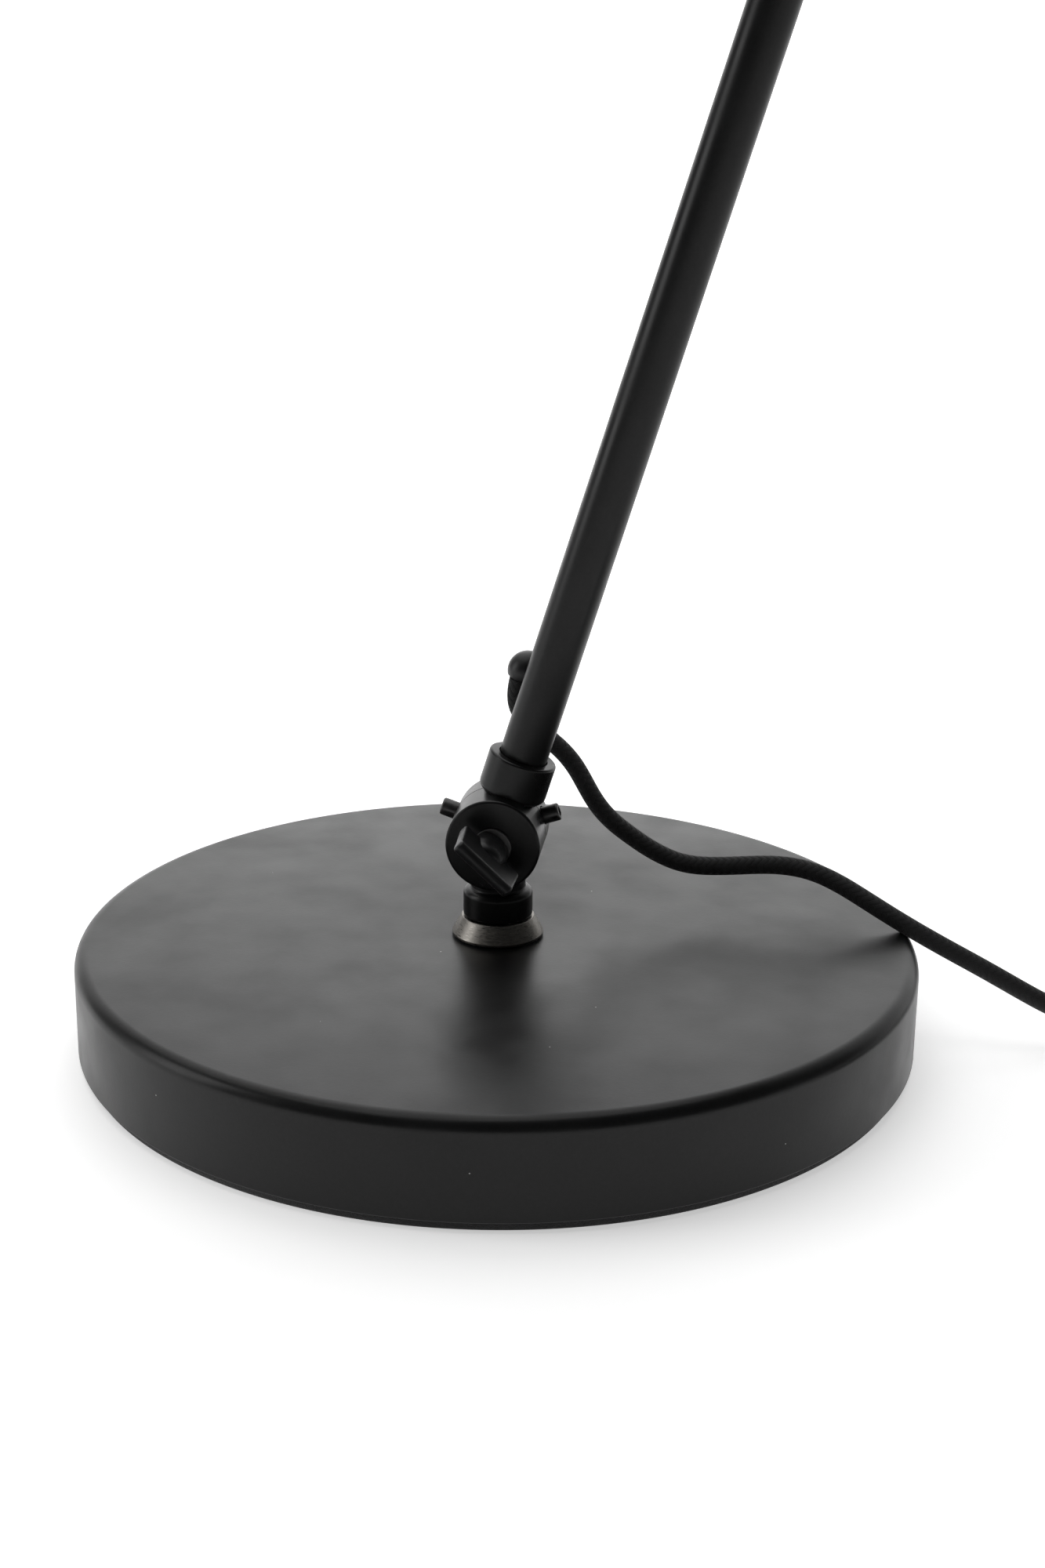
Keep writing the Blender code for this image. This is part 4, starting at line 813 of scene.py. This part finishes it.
def knob_washer(name, place):
    """A flat ring between the front half and the knob."""
    low, bore = FRONT_THICK + GAP, BOLT_RADIUS + GAP
    high = low + WASHER_THICK
    corners = [(WASHER_RADIUS, high, 0.0002), (WASHER_RADIUS, low, 0.0002), (bore, low, 0), (bore, high, 0)]
    return spun(name, corners, place @ FACING_FRONT, 48, ring=True)


KNOB_TURN = math.radians(-43.0)
KNOB_REACH, KNOB_BORE = 0.0190, 0.0051
WING_HALF, WING_TIP_HALF, WING_HALF_THICK, WING_BAR = 0.0098, 0.0093, 0.0014, 0.0018
WING_FOOT, WING_ROUND, WING_DEEP = 0.0035, 0.0009, 0.0070
HUB_LONG, HUB_SHORT, HUB_HEIGHT = 0.0052, 0.0036, 0.0088


def wing_knob(name, place):
    """A moulded knob. The wing's section, a thin plate with a round bar along its outer edge, is carried
    along the wing's length and shrinks by a quarter circle at both ends. A domed hub, spun about the bolt
    and drawn out to an oval along the wing, joins it."""
    start = FRONT_THICK + WASHER_THICK + 2 * GAP
    low, bar_middle = start + WING_FOOT, FRONT_THICK + KNOB_REACH - WING_BAR
    meets = math.asin(WING_HALF_THICK / WING_BAR)
    arc = np.linspace(-math.pi + meets, math.pi - meets, 25)[::-1]
    bar = np.stack([WING_BAR * np.sin(arc), bar_middle + WING_BAR * np.cos(arc)], 1)
    foot_corners = [
        (-WING_HALF_THICK, bar[-1, 1], 0),
        (-WING_HALF_THICK, low, 0.0005),
        (WING_HALF_THICK, low, 0.0005),
        (WING_HALF_THICK, bar[-1, 1], 0),
    ]
    section = np.concatenate([bar, rounded(foot_corners)[1:-1]])
    middle = np.array((0.0, (low + bar_middle + WING_BAR) / 2))
    bend = np.linspace(0.0, math.pi / 2, 7)
    inset = WING_ROUND * (1 - np.cos(bend))
    ends = 1 - WING_ROUND / WING_HALF + WING_ROUND * np.sin(bend) / WING_HALF
    stations = np.concatenate([-ends[::-1], np.linspace(-ends[0], ends[0], 12)[1:-1], ends])
    insets = np.concatenate([inset[::-1], np.zeros(10), inset])
    shrink = np.stack([1 - insets / WING_BAR, 1 - insets / WING_DEEP], 1)
    sections = middle + (section - middle)[None] * shrink[:, None]
    towards_tip = (sections[..., 1] - low) / (bar_middle - low)
    narrowing = WING_HALF + (WING_TIP_HALF - WING_HALF) * towards_tip
    grid = np.stack([stations[:, None] * narrowing, sections[..., 0], sections[..., 1]], -1)
    caps = [np.broadcast_to(part.mean(axis=0), part.shape)[None] for part in (grid[0], grid[-1])]
    turned_place = place @ FACING_FRONT @ Matrix.Rotation(KNOB_TURN, 4, "Z")
    grid = set_at(np.concatenate([caps[0], grid, caps[1]]), turned_place)
    knob = closed_and_smooth(joined_grid(name, grid))
    hub_corners = [
        (0, start + HUB_HEIGHT, 0),
        (HUB_LONG * 0.78, start + HUB_HEIGHT * 0.93, 0.0026),
        (HUB_LONG, start + HUB_HEIGHT * 0.42, 0.0040),
        (HUB_LONG, start, 0.0003),
        (0, start, 0),
    ]
    oval = Matrix.Diagonal((1.0, HUB_SHORT / HUB_LONG, 1.0, 1.0))
    fitted_to(knob, spun("cutting_hub", hub_corners, turned_place @ oval, 64), "UNION")
    fitted_to(knob, rod(BOLT_RADIUS + GAP, 0, start + KNOB_BORE, turned_place, 40))
    return softened(knob, 0.00025)


cast_paint = powder_coat("satin_cast_paint", (0.0045, 0.0045, 0.0047), 0.30, peel=0.00003)
upright = leaning(lower_hinge, 0.0)

SWIVEL_SOCKET = 0.0030
swivel_collar = leaning(lower_hinge, math.pi)
rear_half = knuckle_half("lower_cast_rear", swivel_collar, False, BASE_COLLAR, SWIVEL_SOCKET)
STOP_RADIUS, STOP_PLANE, STOP_INNER, STOP_LEAN = 0.0024, 0.0032, 0.0060, math.radians(71.5)
STOP_KEY_RADIUS, STOP_KEY_DEPTH = 0.00144, 0.0020
for side, outer, node in ((-1, 0.0170, "stop_screw_left"), (1, 0.0171, "stop_screw_right")):
    screw_turn = Matrix.Rotation(side * STOP_LEAN, 4, "Y")
    screw_place = upright @ Matrix.Translation((0, STOP_PLANE, 0)) @ screw_turn
    screw_hole = rod(STOP_RADIUS + GAP, STOP_INNER - GAP, DISC_RADIUS * 2, screw_place, 40)
    fitted_to(rear_half, screw_hole)
    screw_corners = [
        (0, outer, 0),
        (STOP_RADIUS, outer, 0.0006),
        (STOP_RADIUS, STOP_INNER, 0.0006),
        (0, STOP_INNER, 0),
    ]
    screw = spun(node + "_turned", screw_corners, screw_place, 48)
    fitted_to(screw, rod(STOP_KEY_RADIUS, outer - STOP_KEY_DEPTH, outer + 0.002, screw_place, 6))
    dressed(closed_and_smooth(screw), oxide, "swivel", "black_oxide_steel", node)
rear_half = softened(rear_half, CAST_EDGE)
dressed(rear_half, cast_paint, "swivel", "satin_black_paint", "lower_knuckle_rear")


def cast_half(name, place, front, socket, body, node):
    """A painted half with an arm's collar, its edges rounded as cast."""
    half = softened(knuckle_half(name, place, front, ARM_COLLAR, socket), CAST_EDGE)
    dressed(half, cast_paint, body, "satin_black_paint", node)


cast_half("lower_cast_front", lower_place, True, TUBE_RADIUS, "lower_arm", "lower_knuckle_front")


def fittings(where, place, bolt_body, washer_body, knob_body):
    """The bolt, washer and knob of one knuckle."""
    bolt = pivot_bolt(where + "_bolt", place)
    dressed(bolt, oxide, bolt_body, "black_oxide_steel", where + "_pivot_bolt")
    washer = knob_washer(where + "_washer", place)
    dressed(washer, oxide, washer_body, "black_oxide_steel", where + "_knob_washer")
    knob = wing_knob(where + "_knob", place)
    dressed(knob, plastic, knob_body, "black_plastic", where + "_wing_knob")


fittings("lower", upright, "swivel", "lower_arm", "lower_knob")

# Lower arm: a drawn steel tube in satin paint, held in the sockets of its two collars. Two ball-shaped
# cowls cover the holes where the cord goes in and comes out, and it runs inside between them.
TUBE_WALL = 0.001
TUBE_START = ARM_COLLAR[2] - SOCKET_DEPTH + GAP
COWL_RADIUS, COWL_LENGTH, COWL_OFFSET, COWL_MOUTH = 0.0054, 0.0078, 0.0116, 0.0418
COWL_CLEAR, COWL_BORE_DEPTH, TUBE_CUT_REACH = 0.00035, 0.003, 0.03
OUTLET_MOUTH, OUTLET_TURN, OUTLET_CORD_TURN = 0.0404, math.radians(34.0), math.radians(43.0)


def arm_tube(name, place, length, body, node):
    """A tube between the sockets of two collars that face each other over the arm's length."""
    inside = TUBE_RADIUS - TUBE_WALL
    end = length - TUBE_START
    corners = [
        (TUBE_RADIUS, end, 0.0003),
        (TUBE_RADIUS, TUBE_START, 0.0003),
        (inside, TUBE_START, 0),
        (inside, end, 0),
    ]
    tube = spun(name, corners, place, 96, ring=True)
    dressed(tube, tube_paint, body, "satin_black_paint", node)


def beside_tube(turn, distance):
    """A place beside the tube, at a turn about it from the rear towards the left."""
    return Matrix.Translation((-math.sin(turn) * COWL_OFFSET, math.cos(turn) * COWL_OFFSET, distance))


def cord_cowl(name, place, distance, towards_hinge, body, node, turn=0.0, cord_turn=0.0):
    """A ball-shaped outlet spun about a line beside the tube: a circle about its middle, cut flat at the
    mouth. It is bored for the cord and cut to fit the tube's wall."""
    flip = Matrix() if towards_hinge else Matrix.Rotation(math.pi, 4, "Y")
    middle = COWL_LENGTH - COWL_RADIUS
    mouth_radius = math.sqrt(COWL_RADIUS**2 - middle**2)
    circle = np.linspace(math.pi / 2, -math.asin(middle / COWL_RADIUS), 24)[1:-1]
    across, up = COWL_RADIUS * np.cos(circle), middle + COWL_RADIUS * np.sin(circle)
    ball = [(radius, height, 0) for radius, height in zip(across, up)]
    corners = [(0, COWL_LENGTH, 0), *ball, (mouth_radius, 0, 0.0003), (0, 0, 0)]
    cowl = spun(name, corners, place @ beside_tube(turn, distance) @ flip, 64)
    bored = place @ beside_tube(cord_turn, distance) @ flip
    fitted_to(cowl, rod(CORD_RADIUS + COWL_CLEAR, -0.001, COWL_BORE_DEPTH, bored, 48))
    low, high = distance - TUBE_CUT_REACH, distance + TUBE_CUT_REACH
    fitted_to(cowl, rod(TUBE_RADIUS + GAP, low, high, place, 96))
    dressed(softened(cowl, 0.0002), plastic, body, "black_plastic", node)


tube_paint = powder_coat("satin_tube_paint", (0.0050, 0.0050, 0.0052), 0.33, peel=0.00001, dust=0.01)
lower_far_mouth = LOWER_LENGTH - COWL_MOUTH
arm_tube("lower_tube", lower_place, LOWER_LENGTH, "lower_arm", "lower_arm_tube")
outlet_place = (lower_place, OUTLET_MOUTH, True)
turns = (OUTLET_TURN, OUTLET_CORD_TURN)
cord_cowl("lower_cowl", *outlet_place, "lower_arm", "lower_cord_cowl", *turns)
inlet_place = (lower_place, lower_far_mouth, False)
cord_cowl("below_elbow_cowl", *inlet_place, "lower_arm", "elbow_cord_cowl_below")
refinished("lower_arm_cord", braid)

# Elbow: the same knuckle with its own bolt and wing knob, cast and painted alike. The cord passes
# behind it in a short free bridge, from the cowl below to the one above.
BRIDGE_STRAIGHT, BRIDGE_REACH, BRIDGE_ASIDE, BRIDGE_OUTWARD = 0.004, 0.020, 0.00558, 0.010
ELBOW_BRIDGE_REAR = 0.0190
lower_end = leaning(elbow_hinge, LOWER_TILT + math.pi)
cast_half("elbow_cast_rear", lower_end, False, TUBE_RADIUS, "lower_arm", "elbow_knuckle_rear")
cast_half("elbow_cast_front", upper_place, True, TUBE_RADIUS, "upper_arm", "elbow_knuckle_front")
fittings("elbow", upper_place, "lower_arm", "upper_arm", "elbow_knob")


def mouth_of(place, distance, towards_hinge):
    """The point just outside a cowl's mouth, and the way that the cord leaves it."""
    away = (place.to_3x3() @ Vector((0, 0, -1))) * (1 if towards_hinge else -1)
    return place @ Vector((0, COWL_OFFSET, distance)) + away * GAP, away


def bridge_line(first, second, hinge, outward, middle_rise):
    """The cord's line past a knuckle: straight out of one mouth, round behind the hinge, and straight
    into the other."""
    (a, from_a), (b, from_b) = first, second
    aside = Vector((0, BRIDGE_ASIDE, 0))
    behind = hinge + outward + Vector((0, middle_rise, 0))
    leaving = [a, a + from_a * BRIDGE_STRAIGHT, a + from_a * BRIDGE_REACH + aside]
    arriving = [b + from_b * BRIDGE_REACH + aside, b + from_b * BRIDGE_STRAIGHT, b]
    return smooth_line([*leaving, behind, *arriving], CORD_RING_SPACING)


def bridge(name, line, node):
    """A short stretch of the cord past a joint, made in place of its CAD node."""
    cord_piece = closed_and_smooth(tube_along(name, line, CORD_RADIUS, CORD_SIDES))
    cord_piece.data.materials.append(braid)
    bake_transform(cord_piece)
    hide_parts(node)


lower_ahead = lower_place.to_3x3() @ Vector((0, 0, 1))
upper_back = upper_place.to_3x3() @ Vector((0, 0, -1))
elbow_outward = (upper_back + lower_ahead).normalized()
elbow_line = bridge_line(
    mouth_of(lower_place, lower_far_mouth, False),
    mouth_of(upper_place, COWL_MOUTH, True),
    elbow_hinge,
    elbow_outward * BRIDGE_OUTWARD,
    ELBOW_BRIDGE_REAR,
)
bridge("elbow_cord", elbow_line, "elbow_cord_bridge")

# Upper arm: a shorter tube like the lower one, with a cowl at each end, and the head's knuckle, whose
# front half carries the shade.
NIPPLE_SOCKET = 0.0050
upper_far_mouth = UPPER_LENGTH - COWL_MOUTH
arm_tube("upper_tube", upper_place, UPPER_LENGTH, "upper_arm", "upper_arm_tube")
outlet_place = (upper_place, COWL_MOUTH, True)
cord_cowl("above_elbow_cowl", *outlet_place, "upper_arm", "elbow_cord_cowl_above")
inlet_place = (upper_place, upper_far_mouth, False)
cord_cowl("head_cowl", *inlet_place, "upper_arm", "head_cord_cowl")
refinished("upper_arm_cord", braid)
upper_end = leaning(head_hinge, UPPER_TILT + math.pi)
cast_half("head_cast_rear", upper_end, False, TUBE_RADIUS, "upper_arm", "head_knuckle_rear")
cast_half("head_cast_front", head_place, True, NIPPLE_SOCKET, "head", "head_knuckle_front")
fittings("head", leaning(head_hinge, UPPER_TILT), "upper_arm", "head", "head_knob")

# Shade: spun steel, satin black outside and warm white inside, with a rolled rim. A hollow threaded
# nipple and a hexagon nut hold it to the knuckle, and the cord enters through a plastic gland beside
# them.
SHADE_TOP, SHADE_WALL = ARM_COLLAR[2] + GAP, 0.001
NECK, NECK_END, MOUTH_RADIUS, MOUTH = 0.030, 0.078, 0.080, 0.150
RIM_THICK, NIPPLE_HOLE, SHADE_STEPS = 0.0018, 0.0053, 200
FITTING_OFFSET, BARREL_RADIUS, FLANGE_RADIUS = 0.0175, 0.0048, 0.0068
GLAND_RADIUS, GLAND_STANDS, GLAND_INSIDE, HEAD_BRIDGE_REAR = 0.0062, 0.006, 0.005, 0.0215

outer_corners = [
    (NIPPLE_HOLE, SHADE_TOP, 0.0),
    (NECK - 0.0005, SHADE_TOP, 0.0030),
    (NECK, NECK_END - 0.006, 0.0150),
    (NECK + 0.011, NECK_END + 0.012, 0.0180),
    (MOUTH_RADIUS * 0.75, MOUTH - 0.031, 0.0900),
    (MOUTH_RADIUS, MOUTH - 0.0012, 0.0004),
    (MOUTH_RADIUS, MOUTH, 0.0004),
]
inner_corners = [
    (MOUTH_RADIUS - RIM_THICK, MOUTH, 0.0004),
    (MOUTH_RADIUS - RIM_THICK, MOUTH - 0.0024, 0.0004),
    (MOUTH_RADIUS * 0.75 - SHADE_WALL, MOUTH - 0.031 + SHADE_WALL * 0.7, 0.0900),
    (NECK + 0.011 - SHADE_WALL, NECK_END + 0.012 + SHADE_WALL * 0.4, 0.0170),
    (NECK - SHADE_WALL, NECK_END - 0.006, 0.0150),
    (NECK - 0.0005 - SHADE_WALL, SHADE_TOP + SHADE_WALL, 0.0020),
    (NIPPLE_HOLE, SHADE_TOP + SHADE_WALL, 0.0),
]
shade_outline = rounded(outer_corners + inner_corners, ring=True, steps=10)
shade_grid = set_at(spun_points(shade_outline, SHADE_STEPS), head_place)
shade = joined_grid("spun_shade", shade_grid, round_rows=True)
turning_point = int(np.argmax(shade_outline[:, 1] + shade_outline[:, 0]))
inside_rows = np.arange(len(shade_outline)) > turning_point
finish_of_face = np.repeat(inside_rows, SHADE_STEPS).astype(np.int32)
shade.data.polygons.foreach_set("material_index", finish_of_face)
shade_paint = powder_coat("satin_shade_paint", (0.0055, 0.0055, 0.0057), 0.33)
white_paint = powder_coat("white_shade_lining", (0.80, 0.78, 0.73), 0.50)
shade.data.materials.append(shade_paint)
shade.data.materials.append(white_paint)
closed_and_smooth(shade)
for aside in (Vector((0, FITTING_OFFSET, 0)), Vector((FITTING_OFFSET, 0, 0))):
    fitting_place = head_place @ Matrix.Translation(aside)
    hole = rod(BARREL_RADIUS + GAP, SHADE_TOP - 0.002, SHADE_TOP + 0.004, fitting_place, 48)
    fitted_to(shade, hole)
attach(shade, "head")
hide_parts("shade")

refinished("shade_nipple", oxide)
refinished("shade_nut", oxide)
gland_place = head_place @ Matrix.Translation((0, FITTING_OFFSET, 0))
gland_corners = [
    (BARREL_RADIUS, SHADE_TOP + GLAND_INSIDE, 0.0004),
    (BARREL_RADIUS, SHADE_TOP - GAP, 0.0),
    (GLAND_RADIUS, SHADE_TOP - GAP, 0.0003),
    (GLAND_RADIUS, SHADE_TOP - GLAND_STANDS / 2, 0.0006),
    (0.0050, SHADE_TOP - GLAND_STANDS, 0.0006),
    (CORD_RADIUS + GAP, SHADE_TOP - GLAND_STANDS, 0.0002),
    (CORD_RADIUS + GAP, SHADE_TOP + GLAND_INSIDE, 0.0),
]
gland = spun("cord_gland", gland_corners, gland_place, 48, ring=True)
dressed(gland, plastic, "head", "black_plastic", "shade_cord_gland")

down = head_place.to_3x3() @ Vector((0, 0, 1))
gland_top = head_place @ Vector((0, FITTING_OFFSET, SHADE_TOP - GLAND_STANDS))
head_outward = (upper_place.to_3x3() @ Vector((0, 0, 1)) - down).normalized()
head_line = bridge_line(
    mouth_of(upper_place, upper_far_mouth, False),
    (gland_top - down * GAP, -down),
    head_hinge,
    head_outward * BRIDGE_OUTWARD,
    HEAD_BRIDGE_REAR,
)
bridge("head_cord", head_line, "head_cord_bridge")

# Lampholder, bulb and switch: a ribbed black plastic E27 holder on the nipple, an opal LED bulb in its
# plated screw cap, and a push switch held in the shade's top by its flange.
HOLDER_TOP, HOLDER_LENGTH, HOLDER_FLOOR = 0.0335, 0.044, 0.009
HOLDER_RADIUS, HOLDER_BORE, HOLDER_STEPS, HOLDER_RIBS, RIB_DEPTH = 0.0195, 0.0142, 192, 24, 0.018
CAP_RADIUS, CAP_PITCH, THREAD_DEPTH, CAP_STEPS = 0.0132, 0.0036, 0.0006, 72
CAP_STANDS_OUT, BULB_RADIUS, BULB_END = 0.002, 0.0225, 0.128
holder_floor, holder_end = HOLDER_TOP + HOLDER_FLOOR, HOLDER_TOP + HOLDER_LENGTH
holder_corners = [
    (HOLDER_RADIUS, holder_end, 0.0008),
    (HOLDER_RADIUS, HOLDER_TOP + 0.014, 0.0020),
    (HOLDER_RADIUS - 0.004, HOLDER_TOP + 0.003, 0.0015),
    (HOLDER_RADIUS - 0.007, HOLDER_TOP, 0.0010),
    (0.0040, HOLDER_TOP, 0.0),
    (0.0040, holder_floor, 0.0),
    (HOLDER_BORE, holder_floor, 0.0003),
    (HOLDER_BORE, holder_end, 0.0005),
]
holder_outline = rounded(holder_corners, ring=True)
holder_grid = spun_points(holder_outline, HOLDER_STEPS)
ribbed = (holder_outline[:, 0] > HOLDER_RADIUS - 0.0002)[:, None, None]
rib_waves = np.cos(HOLDER_RIBS * 2 * math.pi * np.arange(HOLDER_STEPS) / HOLDER_STEPS)
rib = 1 - RIB_DEPTH * np.clip(2 * rib_waves, 0, 1)[None, :, None]
ribbed_grid = holder_grid * np.concatenate([rib, rib, np.ones_like(rib)], -1)
holder_grid = set_at(np.where(ribbed, ribbed_grid, holder_grid), head_place)
holder = closed_and_smooth(joined_grid("ribbed_lampholder", holder_grid, round_rows=True))
dressed(holder, plastic, "head", "black_plastic", "lampholder")
brass = finish("plain_brass", (0.72, 0.56, 0.28), 0.3, 1.0)
onto(brass, "Roughness", between(brass, grain(brass, 0.0012), 0.22, 0.42, 0.3, 0.7))
refinished("holder_contact", brass)

cap_low = holder_floor + 0.0016
cap_height = np.linspace(cap_low + 0.006, holder_end + CAP_STANDS_OUT, 100)
cap_angle = 2 * math.pi * np.arange(CAP_STEPS) / CAP_STEPS
thread_phase = 2 * math.pi * cap_height[:, None] / CAP_PITCH - cap_angle[None, :]
thread_fade = np.clip((holder_end - cap_height[:, None]) / 0.002, 0, 1)
threaded = CAP_RADIUS - THREAD_DEPTH * (0.5 - 0.5 * np.cos(thread_phase)) * thread_fade
cap_foot = np.array([[0.0, cap_low], [0.0050, cap_low], [0.0060, cap_low + 0.0015]])
foot_radii = np.broadcast_to(cap_foot[:, :1], (len(cap_foot), CAP_STEPS))
cap_radii = np.concatenate([foot_radii, threaded, np.zeros((1, CAP_STEPS))])
cap_heights = np.concatenate([cap_foot[:, 1], cap_height, cap_height[-1:]])
cap_x, cap_y = cap_radii * np.cos(cap_angle), cap_radii * np.sin(cap_angle)
cap_grid = np.stack([cap_x, cap_y, cap_heights[:, None] + 0 * cap_angle], -1)
cap = closed_and_smooth(joined_grid("threaded_bulb_cap", set_at(cap_grid, head_place)))
dressed(cap, nickel, "head", "nickel_plate", "bulb_cap")

milky = {"Subsurface_Weight": 0.2, "Subsurface_Scale": 0.004}
opal = finish("opal_diffuser", (0.90, 0.89, 0.86), 0.35, **milky)
opal_colour = tint(opal, grain(opal, 0.01), (0.88, 0.87, 0.84), (0.92, 0.91, 0.88))
onto(opal, "Base Color", opal_colour)
relief(opal, grain(opal, 0.0012), 0.00001, 0.3)
bulb_low, bulb_middle = holder_end + CAP_STANDS_OUT + GAP, BULB_END - BULB_RADIUS
crown = np.linspace(math.pi / 2, -0.5, 40)
dome = np.stack([BULB_RADIUS * np.cos(crown), bulb_middle + BULB_RADIUS * np.sin(crown)], 1)
neck = np.array([[CAP_RADIUS, bulb_low + 0.003], [CAP_RADIUS, bulb_low], [0.0, bulb_low]])
bulb_grid = set_at(spun_points(np.concatenate([dome, neck]), 96), head_place)
bulb = closed_and_smooth(joined_grid("opal_bulb", bulb_grid))
dressed(bulb, opal, "head", "opal_diffuser", "bulb_glass")

switch_place = head_place @ Matrix.Translation((FITTING_OFFSET, 0, 0))
BUTTON_RADIUS, BUTTON_TOP, BUTTON_TRAVEL = 0.0033, 0.0130, 0.0025
SWITCH_RIM, SWITCH_NOSE, SWITCH_FOOT = 0.0022, 0.0050, 0.0015
button_floor = SHADE_TOP + SHADE_WALL + 0.0030
switch_corners = [
    (0, HOLDER_TOP - SWITCH_FOOT, 0),
    (FLANGE_RADIUS, HOLDER_TOP - SWITCH_FOOT, 0.0004),
    (FLANGE_RADIUS, SHADE_TOP + SHADE_WALL + GAP, 0.0002),
    (BARREL_RADIUS, SHADE_TOP + SHADE_WALL + GAP, 0),
    (BARREL_RADIUS, SHADE_TOP - GAP, 0),
    (FLANGE_RADIUS, SHADE_TOP - GAP, 0.0002),
    (FLANGE_RADIUS - 0.0004, SHADE_TOP - SWITCH_RIM, 0.0004),
    (BARREL_RADIUS, SHADE_TOP - SWITCH_RIM, 0.0002),
    (BARREL_RADIUS, SHADE_TOP - SWITCH_NOSE, 0.0004),
    (BUTTON_RADIUS + GAP, SHADE_TOP - SWITCH_NOSE, 0.0002),
    (BUTTON_RADIUS + GAP, button_floor, 0),
    (0, button_floor, 0),
]
push_switch = spun("push_switch", switch_corners, switch_place, 48)
dressed(push_switch, plastic, "head", "black_plastic", "switch_body")
button_end = button_floor - BUTTON_TRAVEL - GAP
button_corners = [
    (0, button_end, 0),
    (BUTTON_RADIUS, button_end, 0.0002),
    (BUTTON_RADIUS, BUTTON_TOP, 0.0010),
    (0, BUTTON_TOP, 0),
]
button = spun("switch_cap", button_corners, switch_place, 48)
dressed(button, plastic, "switch", "black_plastic", "switch_button")
